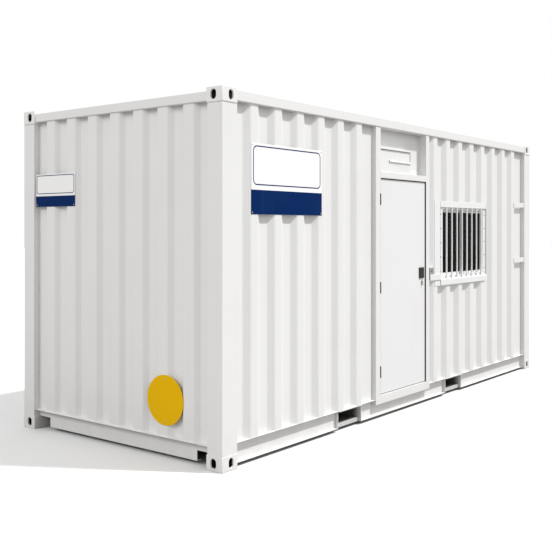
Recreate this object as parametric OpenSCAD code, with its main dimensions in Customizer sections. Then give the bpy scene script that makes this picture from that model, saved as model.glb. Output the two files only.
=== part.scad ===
// Portable site cabin: a steel shipping-box shell with a personnel door, a
// barred window, an insulated lining and a timber deck.
// X runs along the cabin, the door side faces -Y, Z is up, and z = 0 is the
// underside of the corner castings. Lengths named "s" below are measured along
// the door side from the left-hand end of the cabin.

/* [Overall] */
// Length over the corner castings
length = 6058; // [5100:1:7300]
// Width over the corner castings
width = 2438; // [2040:1:2930]
// Height over the corner castings
height = 2896; // [2850:1:3480]

/* [Corner castings] */
// Casting size along the cabin
casting_l = 178; // [178:1:214]
// Casting size across the cabin
casting_w = 162; // [162:1:196]
// Casting height
casting_h = 118; // [100:1:142]
// Thickness of the casting's side walls
casting_wall = 14; // [10:1:18]
// Thickness of the casting's top or bottom plate
casting_plate = 28; // [22:1:34]
// Radius on the casting's edges
casting_edge_r = 6; // [2:1:8]
// Length of the twist-lock slot
slot_l = 124; // [104:1:130]
// Width of the twist-lock slot
slot_w = 63.5; // [52:0.5:70]
// Slot centre from the end of the cabin
slot_from_end = 102.5; // [90:0.5:104]
// Slot centre from the side of the cabin
slot_from_side = 89.5; // [80:0.5:96]
// Width of the hole in the casting's long-side face
side_hole_w = 54; // [44:1:60]
// Width of the hole in the casting's end face
end_hole_w = 58; // [48:1:60]
// Height of the holes in the casting's faces
face_hole_h = 79; // [66:1:80]

/* [Posts and rails] */
// Corner post size along the cabin
post_l = 175; // [140:1:178]
// Corner post size across the cabin
post_w = 150; // [120:1:160]
// Wall of the corner post
post_t = 6; // [4:1:8]
// Post faces behind the casting faces
post_setback = 3; // [2:1:6]
// Depth of the joint groove under the top castings
post_groove = 3; // [2:0.5:4]
// Height of the joint groove under the top castings
post_groove_h = 6; // [4:1:8]
// Top side rail depth into the cabin
top_rail_d = 60; // [50:1:72]
// Top side rail height
top_rail_h = 88; // [70:1:100]
// Top side rail top below the casting top
top_rail_drop = 10; // [6:1:16]
// Top side rail face behind the casting faces
top_rail_setback = 4; // [2:1:8]
// Wall of the top rails
top_rail_t = 4; // [3:1:5]
// Top end rail height
end_top_rail_h = 78; // [64:1:86]
// Top end rail top below the casting top
end_top_rail_drop = 27; // [20:1:32]
// Top end rail face behind the casting faces
end_top_rail_setback = 10; // [4:1:14]
// Bottom side rail lower edge above the ground
side_rail_z = 31; // [20:1:40]
// Bottom side rail height
side_rail_h = 162; // [150:1:194]
// Bottom side rail steel thickness
side_rail_t = 4.5; // [3:0.5:6]
// Web of the bottom side rail behind the wall's outer face
side_rail_recess = 44; // [38:1:52]
// Width of the bottom side rail's lower flange
side_rail_lip = 30; // [20:1:36]
// Bottom end rail top above the ground
end_rail_top_z = 180; // [165:1:190]
// Bottom end rail steel thickness
end_rail_t = 5; // [4:1:6]
// Ledge of the bottom end rail behind the casting faces
end_ledge_setback = 10; // [6:1:16]
// Web of the bottom end rail behind the casting faces
end_web_setback = 62; // [60:1:74]
// Width of the bottom end rail's lower flange
end_rail_flange = 50; // [40:1:60]
// Width of the notch beside each casting in the bottom end rail
end_notch_w = 150; // [120:1:180]
// Height of the notch in the bottom end rail
end_notch_h = 84; // [70:1:90]

/* [Walls] */
// Thickness of the wall and roof sheets
sheet_t = 2; // [1.5:0.5:4]
// Depth of the wall ribs
rib_depth = 36; // [30:1:40]
// Outer rib faces behind the casting faces on the long sides
side_setback = 16; // [13:1:20]
// Outer rib faces behind the casting faces on the ends
end_setback = 22; // [18:1:24]
// Flat width of a long-side rib
side_crest = 88; // [72:1:106]
// Slope width of a long-side rib
side_slope = 62; // [52:1:66]
// First rib centre to the post on the front wall
front_first = 221; // [190:1:265]
// Last rib centre left of the door to the door frame
front_last = 286; // [240:1:343]
// First rib centre right of the door to the door frame
right_first = 150; // [125:1:180]
// Last rib centre right of the door to the post
right_last = 350; // [293:1:420]
// Ribs left of the door
left_ribs = 6; // [5:1:6]
// Ribs right of the door
right_ribs = 8; // [6:1:8]
// Ribs along the back wall
back_ribs = 19; // [16:1:19]
// End margin of the back wall's first and last rib centre
back_margin = 170; // [150:1:220]
// Flat width of an end-wall rib
end_crest = 107; // [90:1:110]
// Slope width of an end-wall rib
end_slope = 48; // [40:1:56]
// Ribs on an end wall
end_ribs = 7; // [5:1:7]
// Outermost end-wall rib centre to the post
end_margin = 214; // [180:1:240]
// Thickness of the insulated lining
lining_t = 60; // [50:1:72]
// Gap between lining boards
board_gap = 1; // [0.5:0.5:2]
// Depth of the roof ribs
roof_rib_depth = 16; // [12:1:20]
// Roof ribs
roof_ribs = 24; // [18:1:26]
// Flat width of a roof rib
roof_crest = 90; // [75:1:100]
// Slope width of a roof rib
roof_slope = 25; // [20:1:30]

/* [Floor] */
// Thickness of the deck
deck_t = 28; // [23:1:34]
// Cross member height
cross_h = 122; // [100:1:140]
// Cross member flange width
cross_flange = 45; // [36:1:54]
// Cross member steel thickness
cross_t = 4; // [3:1:5]
// Number of cross member places along the cabin
cross_places = 16; // [12:1:18]
// Clear width of a fork pocket
pocket_w = 380; // [320:1:400]
// Clear height of a fork pocket
pocket_h = 115; // [96:1:116]
// Underside of the fork pocket's clear space above the ground
pocket_z = 66; // [60:1:68]
// Thickness of the fork pocket's side plates and straps
pocket_t = 6; // [5:1:7]
// Depth of the strap under each pocket mouth
pocket_strap = 220; // [180:1:300]
// Left fork pocket centre
pocket_left_s = 1786; // [1500:1:1900]
// Right fork pocket centre
pocket_right_s = 3887; // [3700:1:4100]

/* [Door] */
// Left edge of the door frame
door_frame_s = 2212; // [2200:1:2300]
// Width of the left door jamb
jamb_left_w = 90; // [75:1:108]
// Width of the right door jamb
jamb_right_w = 73; // [61:1:88]
// Door leaf width
leaf_w = 900; // [750:1:990]
// Door leaf height
leaf_h = 2070; // [1730:1:2150]
// Door leaf thickness
leaf_t = 46; // [40:1:55]
// Clearance between the leaf and its frame
leaf_gap = 8; // [6:1:10]
// Leaf face behind the frame face
leaf_setback = 12; // [10:1:15]
// Frame face proud of the wall ribs
frame_proud = 5; // [2:1:8]
// Sill top above the ground
sill_top_z = 224; // [223:1:240]
// Depth of the sill's front face
sill_face_h = 83; // [70:1:95]
// Wall of the hollow door jambs
jamb_t = 4; // [3:1:5]
// Width of the door stop
stop_w = 15; // [12:1:18]
// Clearance between the leaf and the door stop
stop_gap = 6; // [5:1:8]
// Height of the head member over the door
head_h = 61; // [50:1:73]
// Depth of the niche over the door
niche_depth = 84; // [70:1:90]
// Hinge barrel radius
hinge_r = 8; // [7:0.5:9]
// Hinge pin radius
hinge_pin_r = 4.5; // [4:0.5:5]
// Running clearance on the hinge pin
hinge_pin_gap = 0.1; // [0.05:0.05:0.2]
// Height of a hinge
hinge_h = 110; // [90:1:132]
// Clearance round a hinge in its notch
hinge_gap = 5; // [5:1:6]
// Gap between the two barrels of a hinge
hinge_split = 1; // [0.5:0.5:2]
// Thickness of a hinge flag
hinge_flag_t = 4; // [3:1:5]
// Hinge centres above the ground
hinge_z = [446, 1256, 2106]; // [390:1:2160]
// Lock plate width
lock_w = 98; // [80:1:110]
// Lock plate height
lock_h = 111; // [90:1:130]
// Lock plate thickness
lock_t = 10; // [6:1:14]
// Lock plate to the leaf's free edge
lock_edge = 30; // [24:1:40]
// Lock plate underside above the ground
lock_z = 1310; // [1250:1:1400]
// Key turn right of the lock plate's middle
lever_offset = 10; // [0:1:15]
// Key turn centre below the lock plate
lever_drop = 34; // [28:1:40]
// Radius of the key turn's seat
lever_seat_r = 13; // [10:1:16]
// Thickness of the key turn's seat
lever_seat_t = 6; // [5:1:7]
// Width of the key turn
lever_w = 9; // [7:1:11]
// Length of the key turn
lever_l = 40; // [32:1:48]

/* [Vent] */
// Vent hood length
vent_l = 602; // [500:1:725]
// Vent hood height
vent_h = 236; // [200:1:280]
// Vent lip drop
vent_lip = 14; // [10:1:18]
// Where the shorter lip starts
vent_short = 180; // [150:1:210]
// Height of the shorter lip on the hood
vent_low = 118; // [100:1:140]
// Cap and lip behind the door frame's face
vent_setback = 4; // [2:1:6]
// Hood face behind the cap's edge
vent_face_depth = 10; // [8:1:14]
// Fall of the cap and the lip towards their edges
vent_fall = 8; // [5:1:10]

/* [Window] */
// Window opening to the door frame
window_from_door = 250; // [225:1:300]
// Width of the window opening
window_w = 1184; // [980:1:1400]
// Underside of the window opening
window_z = 1284; // [1200:1:1400]
// Height of the window opening
window_h = 774; // [650:1:860]
// Width of the plate left of the window
window_plate_left = 128; // [100:1:150]
// Width of the plate right of the window
window_plate_right = 20; // [16:1:26]
// Height of the plate over the window
window_plate_top = 64; // [52:1:76]
// Height of the sill box
sill_box_h = 76; // [60:1:100]
// Sill box proud of the wall ribs
sill_box_proud = 12; // [8:1:14]
// Fall of the sill box's top towards its face
sill_fall = 10; // [6:1:14]
// Steel thickness of the window surround
surround_t = 4; // [3:1:5]
// Fixed window frame behind the wall's outer face
fixed_setback = 8; // [5:1:12]
// Width of the fixed window frame's side members
fixed_bar = 76; // [60:1:90]
// Height of the fixed window frame's top and bottom members
fixed_rail = 24; // [20:1:30]
// Outer sash behind the fixed window frame's face
sash_setback = 19; // [15:1:24]
// Bar width of a sliding sash
sash_bar = 30; // [25:1:36]
// Thickness of a sliding sash
sash_t = 20; // [16:1:22]
// Gap between the two sashes
sash_gap = 2; // [1:0.5:3]
// Overlap of the sashes at the middle
sash_lap = 42; // [34:1:50]
// Thickness of the panes
glass_t = 5; // [4:1:6]

/* [Fittings] */
// Keeper box to the door frame
keeper_gap = 6; // [4:1:10]
// Keeper box width
keeper_w = 84; // [70:1:90]
// Keeper box height
keeper_h = 140; // [116:1:160]
// Keeper box underside above the ground
keeper_z = 1273; // [1220:1:1320]
// Keeper steel thickness
keeper_t = 4; // [3:1:5]
// Height of the flat arm
arm_h = 62; // [50:1:74]
// Thickness of the flat arm
arm_t = 6; // [5:1:8]
// Strap bracket height
strap_h = 60; // [50:1:72]
// Strap bracket thickness
strap_t = 6; // [5:1:8]
// Strap bracket reach from the post
strap_reach = 324; // [300:1:340]
// Strap bracket centres above the ground
strap_z = [1421, 2121]; // [1200:1:2400]

/* [Signs] */
// Thickness of the sign boards
sign_t = 3; // [2:1:4]
// Left edge of the front sign board
sign_s = 357; // [300:1:420]
// Width of the front sign board
sign_w = 958; // [800:1:1150]
// Underside of the front sign board
sign_z = 1937; // [1900:1:2100]
// Height of the front sign board
sign_h = 560; // [470:1:670]
// End sign board centre across the cabin, from the door side
end_sign_w_at = 2003; // [1700:1:2010]
// Width of the end sign board
end_sign_w = 546; // [455:1:655]
// Underside of the end sign board
end_sign_z = 2020; // [1900:1:2100]
// Height of the end sign board
end_sign_h = 293; // [244:1:350]
// Round sign centre across the cabin, from the door side
disc_w_at = 620; // [500:1:700]
// Round sign centre above the ground
disc_z = 468; // [420:1:560]
// Radius of the round sign
disc_r = 200; // [167:1:230]

/* [Hidden] */
$fn = 48;

// Colours
paint = [0.94, 0.94, 0.93];
shade_paint = [0.85, 0.85, 0.84];
timber = [0.55, 0.42, 0.28];
board = [0.88, 0.87, 0.84];
dark_steel = [0.25, 0.25, 0.24];
alu = [0.86, 0.87, 0.88];

// Outer planes
x_end = length / 2;
y_side = width / 2;
x_post_in = -x_end + casting_l;
y_post_in = -y_side + post_setback + post_w;
z_post_top = height - casting_h;

// Front (door side) wall planes, from outside to inside
y_crest = -y_side + side_setback;
y_sheet_in = y_crest + rib_depth + sheet_t;
y_lining_in = y_sheet_in + lining_t;
y_web = y_crest + side_rail_recess;
y_web_in = y_web + side_rail_t;
y_mouth = y_web - side_rail_lip;

// Left end wall planes, from outside to inside
x_crest = -x_end + end_setback;
x_sheet_in = x_crest + rib_depth + sheet_t;
x_lining_in = x_sheet_in + lining_t;

// Heights
z_rail_top = side_rail_z + side_rail_h;
z_deck_top = z_rail_top + deck_t;
z_pocket_top = pocket_z + pocket_h;
z_top_rail = height - top_rail_drop - top_rail_h;
z_end_top_rail = height - end_top_rail_drop - end_top_rail_h;
z_ceiling = z_top_rail - lining_t;
y_top_rail_in = -y_side + top_rail_setback + top_rail_d;
x_end_top_rail_in = -x_end + end_top_rail_setback + top_rail_d;

// Door frame and leaf
y_frame = y_crest - frame_proud;
x_frame = -x_end + door_frame_s;
x_open = x_frame + jamb_left_w;
open_w = leaf_w + 2 * leaf_gap;
x_open_end = x_open + open_w;
x_frame_end = x_open_end + jamb_right_w;
z_leaf = sill_top_z + leaf_gap;
z_open_top = z_leaf + leaf_h + leaf_gap;
z_niche = z_open_top + head_h;
y_leaf = y_frame + leaf_setback;
y_stop = y_leaf + leaf_t + stop_gap;
y_niche = y_frame + niche_depth;
hinge_x = x_open;
hinge_y = y_leaf - hinge_r;

// Window
x_win = x_frame_end + window_from_door;
x_win_end = x_win + window_w;
z_win_top = window_z + window_h;
z_sill_box = window_z - sill_box_h;
z_head_plate = z_win_top + window_plate_top;
y_plate = y_crest - surround_t;
y_fixed = y_crest + fixed_setback;
y_sash = y_fixed + sash_setback;
x_fixed_in = x_win + surround_t;
x_fixed_in_end = x_win_end - surround_t;
z_fixed = window_z;
z_fixed_top = z_win_top - surround_t;
sash_run = x_fixed_in_end - x_fixed_in - 2 * fixed_bar;
sash_w = (sash_run + sash_lap) / 2;
sash_h = z_fixed_top - z_fixed - 2 * fixed_rail;

// Overlap used only inside one solid, to fuse its pieces or pass a cut through
eps = 1;

// A block between two opposite corners
module block(low, high) {
    translate(low) cube(high - low);
}

// The children at all four corners or both halves of the cabin
module four_corners() {
    for (mx = [0, 1], my = [0, 1]) mirror([mx, 0, 0]) mirror([0, my, 0]) children();
}
module both_ends() {
    for (mx = [0, 1]) mirror([mx, 0, 0]) children();
}

// A rectangle with rounded corners
module rounded_rect(w, h, r) {
    translate([r, 0]) square([w - 2 * r, h]);
    translate([0, r]) square([w, h - 2 * r]);
    for (x = [r, w - r], y = [r, h - r]) translate([x, y]) circle(r = r);
}

// An oblong hole of overall size l by w, along the first axis
module oblong(l, w, depth) {
    linear_extrude(depth) {
        translate([-(l - w) / 2, -w / 2]) square([l - w, w]);
        for (side = [-1, 1]) translate([side * (l - w) / 2, 0]) circle(d = w);
    }
}

// One corner casting with its outer corner at the origin
module casting() {
    difference() {
        intersection() {
            linear_extrude(casting_h) rounded_rect(casting_l, casting_w, casting_edge_r);
            rotate([90, 0, 90]) linear_extrude(casting_l) rounded_rect(casting_w, casting_h, casting_edge_r);
            translate([0, casting_w, 0]) rotate([90, 0, 0])
                linear_extrude(casting_w) rounded_rect(casting_l, casting_h, casting_edge_r);
        }
        block([casting_wall, casting_wall, casting_plate],
              [casting_l - casting_wall, casting_w - casting_wall, casting_h - casting_wall]);
        translate([slot_from_end, slot_from_side, -eps]) oblong(slot_l, slot_w, casting_plate + 2 * eps);
        translate([slot_from_end, casting_wall + eps, casting_h / 2]) rotate([90, 90, 0])
            oblong(face_hole_h, side_hole_w, casting_wall + 2 * eps);
        translate([-eps, slot_from_side, casting_h / 2]) rotate([0, 90, 0])
            oblong(face_hole_h, end_hole_w, casting_wall + 2 * eps);
    }
}

// Solid blocks the size of the castings, used to trim what butts against them
module casting_blocks() {
    four_corners() {
        block([-x_end - eps, -y_side - eps, -eps], [x_post_in, -y_side + casting_w, casting_h]);
        block([-x_end - eps, -y_side - eps, z_post_top], [x_post_in, -y_side + casting_w, height + eps]);
    }
}

// Solid blocks the size of the posts, used in the same way
module post_blocks() {
    four_corners() block([-x_end, -y_side, casting_h - eps], [x_post_in, y_post_in, z_post_top + eps]);
}

module corner_castings_bottom() {
    color(paint) four_corners() translate([-x_end, -y_side, 0]) casting();
}

module corner_castings_top() {
    color(paint) four_corners() translate([-x_end, -y_side, height]) mirror([0, 0, 1]) casting();
}

module corner_posts() {
    x = -x_end + post_setback;
    y = -y_side + post_setback;
    z_groove = z_post_top - post_groove_h;
    color(paint) four_corners() difference() {
        block([x, y, casting_h], [x + post_l, y + post_w, z_post_top]);
        block([x + post_t, y + post_t, casting_h - eps],
              [x + post_l - post_t, y + post_w - post_t, z_post_top + eps]);
        block([x - eps, y - eps, z_groove], [x + post_groove, y + post_w + eps, z_post_top + eps]);
        block([x - eps, y - eps, z_groove], [x + post_l + eps, y + post_groove, z_post_top + eps]);
    }
}

// A channel that opens outwards, along the front side between the castings.
// It stops at each fork pocket, whose plates carry it across.
module bottom_side_rail() {
    tunnel = pocket_w + 2 * pocket_t;
    difference() {
        union() {
            block([x_post_in, y_web, side_rail_z], [-x_post_in, y_web_in, z_rail_top]);
            block([x_post_in, y_crest, z_rail_top - side_rail_t], [-x_post_in, y_web + eps, z_rail_top]);
            block([x_post_in, y_web - side_rail_lip, side_rail_z],
                  [-x_post_in, y_web + eps, side_rail_z + side_rail_t]);
        }
        for (s = [pocket_left_s, pocket_right_s])
            block([-x_end + s - tunnel / 2, -y_side, 0], [-x_end + s + tunnel / 2, 0, z_deck_top]);
    }
}

module bottom_side_rail_front() {
    color(paint) difference() {
        bottom_side_rail();
        block([x_frame, y_crest - eps, z_rail_top - side_rail_t - eps],
              [x_frame_end, y_sheet_in, z_rail_top + eps]);
    }
}

module bottom_side_rail_back() {
    color(paint) mirror([0, 1, 0]) bottom_side_rail();
}

module bottom_end_rails() {
    x_web = -x_end + end_web_setback;
    y_notch = -y_side + casting_w + end_notch_w;
    color(shade_paint) both_ends() difference() {
        union() {
            block([x_web, y_post_in, side_rail_z], [x_web + end_rail_t, -y_post_in, end_rail_top_z]);
            block([-x_end + end_ledge_setback, y_post_in, end_rail_top_z - end_rail_t],
                  [x_web + eps, -y_post_in, end_rail_top_z]);
            block([x_web, y_notch, side_rail_z],
                  [x_web + end_rail_flange, -y_notch, side_rail_z + end_rail_t]);
        }
        for (my = [0, 1]) mirror([0, my, 0])
            block([x_web - eps, y_post_in - eps, side_rail_z - eps],
                  [x_web + end_rail_t + eps, y_notch, side_rail_z + end_notch_h]);
        casting_blocks();
    }
}

// Where the cross members stand, leaving out the places taken by the fork pockets
cross_pitch = (2 * -x_post_in - cross_flange) / (cross_places - 1);
function beside_pocket(x, s) =
    abs(x + cross_flange / 2 - (s - x_end)) > pocket_w / 2 + pocket_t + cross_flange;
cross_x = [for (i = [0 : cross_places - 1]) let (x = x_post_in + i * cross_pitch)
    if (beside_pocket(x, pocket_left_s) && beside_pocket(x, pocket_right_s)) x];

module cross_members() {
    z = z_rail_top - cross_h;
    color(dark_steel) for (x = cross_x) translate([x, y_web_in, z]) difference() {
        cube([cross_flange, -2 * y_web_in, cross_h]);
        translate([cross_t, -eps, cross_t])
            cube([cross_flange, -2 * y_web_in + 2 * eps, cross_h - 2 * cross_t]);
    }
}

// The children at both fork pockets
module both_pockets() {
    for (s = [pocket_left_s, pocket_right_s]) translate([s - x_end, 0, 0]) children();
}

module fork_pocket_sides() {
    half = pocket_w / 2;
    color(paint) both_pockets() both_ends()
        block([half, y_mouth, side_rail_z], [half + pocket_t, -y_mouth, z_pocket_top]);
}

module fork_pocket_tops() {
    half = pocket_w / 2 + pocket_t;
    color(paint) both_pockets() block([-half, y_crest, z_pocket_top], [half, -y_crest, z_rail_top]);
}

// A folded strap under each mouth: a flat tread with an apron down to the rail's lower edge
module fork_pocket_straps() {
    half = pocket_w / 2;
    color(paint) both_pockets() for (my = [0, 1]) mirror([0, my, 0]) {
        block([-half, y_web, pocket_z - pocket_t], [half, y_web + pocket_strap, pocket_z]);
        block([-half, y_web, side_rail_z], [half, y_web_in, pocket_z - eps]);
    }
}

// A square tube along the front top edge
module top_side_rail() {
    y = -y_side + top_rail_setback;
    difference() {
        block([x_post_in, y, z_top_rail], [-x_post_in, y_top_rail_in, z_top_rail + top_rail_h]);
        block([x_post_in - eps, y + top_rail_t, z_top_rail + top_rail_t],
              [-x_post_in + eps, y_top_rail_in - top_rail_t, z_top_rail + top_rail_h - top_rail_t]);
    }
}

module top_side_rail_front() {
    color(paint) top_side_rail();
}

module top_side_rail_back() {
    color(paint) mirror([0, 1, 0]) top_side_rail();
}

module top_end_rails() {
    x = -x_end + end_top_rail_setback;
    y = -y_side + casting_w;
    color(shade_paint) both_ends() difference() {
        block([x, y, z_end_top_rail], [x_end_top_rail_in, -y, z_end_top_rail + end_top_rail_h]);
        block([x + top_rail_t, y - eps, z_end_top_rail + top_rail_t],
              [x_end_top_rail_in - top_rail_t, -y + eps, z_end_top_rail + end_top_rail_h - top_rail_t]);
    }
}

// The outer line of a ribbed sheet: [distance along, depth behind the ribs]
function rib_line(span, first, last, count, crest, slope, depth) =
    let (pitch = (span - first - last) / (count - 1))
    concat([[0, depth]],
           [for (i = [0 : count - 1]) let (c = first + i * pitch)
               each [[c - crest / 2 - slope, depth], [c - crest / 2, 0],
                     [c + crest / 2, 0], [c + crest / 2 + slope, depth]]],
           [[span, depth]]);

// A folded sheet that follows a rib line
module ribbed_sheet(line, h, t) {
    linear_extrude(h) polygon(concat(line, [for (i = [len(line) - 1 : -1 : 0]) line[i] + [0, t]]));
}

// The outer line of the front wall right of the door
right_span = -x_post_in - x_frame_end;
right_line = rib_line(right_span, right_first, right_last, right_ribs, side_crest, side_slope, rib_depth);

// The front wall right of the door, before the window is cut
module front_stretch_right() {
    translate([x_frame_end, y_crest, z_rail_top]) ribbed_sheet(right_line, z_top_rail - z_rail_top, sheet_t);
}

// Part of the right stretch between two places along it and two heights
module front_piece(x_from, x_to, z_from, z_to) {
    intersection() {
        front_stretch_right();
        block([x_from, -y_side, z_from], [x_to, 0, z_to]);
    }
}

module front_wall_left() {
    span = x_frame - x_post_in;
    line = rib_line(span, front_first, front_last, left_ribs, side_crest, side_slope, rib_depth);
    color(paint) translate([x_post_in, y_crest, z_rail_top])
        ribbed_sheet(line, z_top_rail - z_rail_top, sheet_t);
}
module front_wall_beside_window() {
    color(paint) front_piece(x_frame_end, x_win, z_rail_top, z_top_rail);
}
module front_wall_under_window() {
    color(paint) front_piece(x_win, x_win_end, z_rail_top, z_sill_box);
}
module front_wall_over_window() {
    color(paint) front_piece(x_win, x_win_end, z_win_top, z_top_rail);
}
module front_wall_right() {
    color(paint) front_piece(x_win_end, -x_post_in, z_rail_top, z_top_rail);
}

module back_wall() {
    line = rib_line(-2 * x_post_in, back_margin, back_margin, back_ribs, side_crest, side_slope, rib_depth);
    color(paint) mirror([0, 1, 0]) translate([x_post_in, y_crest, z_rail_top])
        ribbed_sheet(line, z_top_rail - z_rail_top, sheet_t);
}

module end_wall() {
    line = rib_line(-2 * y_post_in, end_margin, end_margin, end_ribs, end_crest, end_slope, rib_depth);
    difference() {
        translate([x_crest, -y_post_in, end_rail_top_z]) rotate([0, 0, -90])
            ribbed_sheet(line, z_end_top_rail - end_rail_top_z, sheet_t);
        casting_blocks();
    }
}
module end_wall_left() {
    color(shade_paint) end_wall();
}
module end_wall_right() {
    color(shade_paint) mirror([1, 0, 0]) end_wall();
}

// The roof ribs cross the cabin from one side rail to the other
module roof_panel() {
    span = -2 * x_end_top_rail_in;
    margin = roof_crest / 2 + roof_slope + roof_crest / 2;
    line = rib_line(span, margin, margin, roof_ribs, roof_crest, roof_slope, roof_rib_depth);
    z = z_end_top_rail + end_top_rail_h;
    color(paint) difference() {
        translate([x_end_top_rail_in, -y_top_rail_in, z]) rotate([90, 0, 0])
            mirror([0, 1, 0]) ribbed_sheet(line, -2 * y_top_rail_in, sheet_t);
        casting_blocks();
    }
}

module floor_deck() {
    color(timber) difference() {
        block([x_sheet_in, y_sheet_in, z_rail_top], [-x_sheet_in, -y_sheet_in, z_deck_top]);
        post_blocks();
    }
}

// An insulated board of full height along the front side
module lining_slab(x_from, x_to, z_from, z_to) {
    block([x_from, y_sheet_in, z_from], [x_to, y_lining_in, z_to]);
}

module lining_back() {
    color(board) mirror([0, 1, 0]) lining_slab(x_post_in, -x_post_in, z_deck_top, z_top_rail);
}
module lining_ends() {
    color(board) both_ends() difference() {
        block([x_sheet_in, y_post_in, z_deck_top], [x_lining_in, -y_post_in, z_end_top_rail]);
        casting_blocks();
    }
}
module lining_front_left() {
    color(board) lining_slab(x_post_in, x_frame, z_deck_top, z_top_rail);
}
module lining_front_right() {
    color(board) {
        lining_slab(x_frame_end, x_win - board_gap, z_deck_top, z_top_rail);
        lining_slab(x_win, x_win_end, z_deck_top, z_sill_box);
        lining_slab(x_win, x_win_end, z_win_top, z_top_rail);
        lining_slab(x_win_end + board_gap, -x_post_in, z_deck_top, z_top_rail);
    }
}
module lining_over_door() {
    color(board) block([x_open, y_niche + sheet_t, z_niche], [x_open_end, y_lining_in, z_top_rail]);
}
module ceiling_panel() {
    color(board) difference() {
        block([x_lining_in, y_lining_in, z_ceiling], [-x_lining_in, -y_lining_in, z_top_rail]);
        post_blocks();
        casting_blocks();
    }
}

// A hollow jamb from x_from to x_to
module jamb(x_from, x_to) {
    difference() {
        block([x_from, y_frame, sill_top_z], [x_to, y_lining_in, z_top_rail]);
        block([x_from + jamb_t, y_frame + jamb_t, sill_top_z - eps],
              [x_to - jamb_t, y_lining_in - jamb_t, z_top_rail + eps]);
    }
}

module door_jambs() {
    notch = hinge_r + hinge_gap;
    color(paint) difference() {
        union() {
            jamb(x_frame, x_open);
            for (z = hinge_z)
                block([x_open - notch - jamb_t, y_frame + eps, z - hinge_h / 2 - hinge_gap - jamb_t],
                      [x_open - eps, hinge_y + notch + jamb_t, z + hinge_h / 2 + hinge_gap + jamb_t]);
        }
        for (z = hinge_z)
            block([x_open - notch, y_frame - eps, z - hinge_h / 2 - hinge_gap],
                  [x_open + eps, hinge_y + notch, z + hinge_h / 2 + hinge_gap]);
    }
    color(paint) jamb(x_open_end, x_frame_end);
}

// Strips that the leaf closes against, on both jambs and under the head
module door_stops() {
    z_side_top = z_open_top - stop_w - board_gap;
    color(paint) {
        block([x_open, y_stop, sill_top_z], [x_open + stop_w, y_lining_in, z_side_top]);
        block([x_open_end - stop_w, y_stop, sill_top_z], [x_open_end, y_lining_in, z_side_top]);
        block([x_open, y_stop, z_open_top - stop_w], [x_open_end, y_lining_in, z_open_top]);
    }
}

module door_head() {
    color(paint) block([x_open, y_frame, z_open_top], [x_open_end, y_lining_in, z_niche]);
}

// A folded sill: a deep face below the door and a thin threshold behind it
module door_sill() {
    z_low = sill_top_z - sill_face_h;
    profile = [[y_frame, z_low], [y_sheet_in, z_low], [y_sheet_in, z_deck_top],
               [y_lining_in, z_deck_top], [y_lining_in, sill_top_z], [y_frame, sill_top_z]];
    color(paint) translate([x_frame, 0, 0]) rotate([90, 0, 90])
        linear_extrude(x_frame_end - x_frame) polygon(profile);
}

module niche_panel() {
    color(paint) block([x_open, y_niche, z_niche], [x_open_end, y_niche + sheet_t, z_top_rail]);
}

// A folded cowl: a sloping foot, a recessed face, a cap along its top and a shorter lip below
module vent_hood() {
    y_lip = y_frame + vent_setback;
    y_foot = y_lip + vent_setback;
    y_face = y_lip + vent_face_depth;
    z_lip = z_niche + vent_low;
    z_cap = z_niche + vent_h - vent_lip;
    body = [[y_niche, z_niche], [y_foot, z_niche], [y_face, z_lip - vent_lip],
            [y_face, z_cap], [y_niche, z_cap]];
    lip = [[y_lip, z_lip - vent_lip], [y_lip, z_lip], [y_face + eps, z_lip + vent_fall],
           [y_face + eps, z_lip - vent_lip]];
    cap = [[y_lip, z_cap - eps], [y_lip, z_cap + vent_lip], [y_niche, z_cap + vent_lip + vent_fall],
           [y_niche, z_cap - eps]];
    color(paint) translate([x_open, 0, 0]) rotate([90, 0, 90]) {
        linear_extrude(vent_l) polygon(body);
        linear_extrude(vent_l) polygon(cap);
        translate([0, 0, vent_short]) linear_extrude(vent_l - vent_short) polygon(lip);
    }
}

module door_leaf() {
    color(paint) block([x_open + leaf_gap, y_leaf, z_leaf],
                       [x_open + leaf_gap + leaf_w, y_leaf + leaf_t, z_leaf + leaf_h]);
}

// The lower half of each lift-off hinge, with its pin and its flag on the jamb
module hinge_pins() {
    half = hinge_h / 2;
    color(dark_steel) for (z = hinge_z) translate([hinge_x, hinge_y, z]) {
        translate([0, 0, -half]) cylinder(r = hinge_r, h = half - hinge_split / 2);
        translate([0, 0, -eps]) cylinder(r = hinge_pin_r, h = half - hinge_gap);
        block([-hinge_flag_t, 0, -half], [0, hinge_r + hinge_gap, -hinge_split / 2]);
    }
}

// The upper half of each hinge, which lifts off with the door
module hinge_barrels() {
    half = hinge_h / 2;
    color(dark_steel) for (z = hinge_z) translate([hinge_x, hinge_y, z]) difference() {
        union() {
            translate([0, 0, hinge_split / 2]) cylinder(r = hinge_r, h = half - hinge_split / 2);
            block([leaf_gap - hinge_flag_t, 0, hinge_split / 2], [leaf_gap, hinge_r + hinge_gap, half]);
        }
        translate([0, 0, -eps]) cylinder(r = hinge_pin_r + hinge_pin_gap, h = half - hinge_gap + 2 * eps);
    }
}

module lock_plate() {
    x = x_open + leaf_gap + leaf_w - lock_edge - lock_w;
    color(dark_steel) block([x, y_leaf - lock_t, lock_z], [x + lock_w, y_leaf, lock_z + lock_h]);
}

// A small key turn on a round seat under the lock plate
module lock_lever() {
    x = x_open + leaf_gap + leaf_w - lock_edge - lock_w / 2 + lever_offset;
    y_seat = y_leaf - lever_seat_t;
    color(alu) translate([x, 0, lock_z - lever_drop]) {
        translate([0, y_leaf, 0]) rotate([90, 0, 0]) cylinder(r = lever_seat_r, h = lever_seat_t);
        block([-lever_w / 2, y_seat - lever_w, -lever_l], [lever_w / 2, y_seat + eps, 0]);
    }
}

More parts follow.
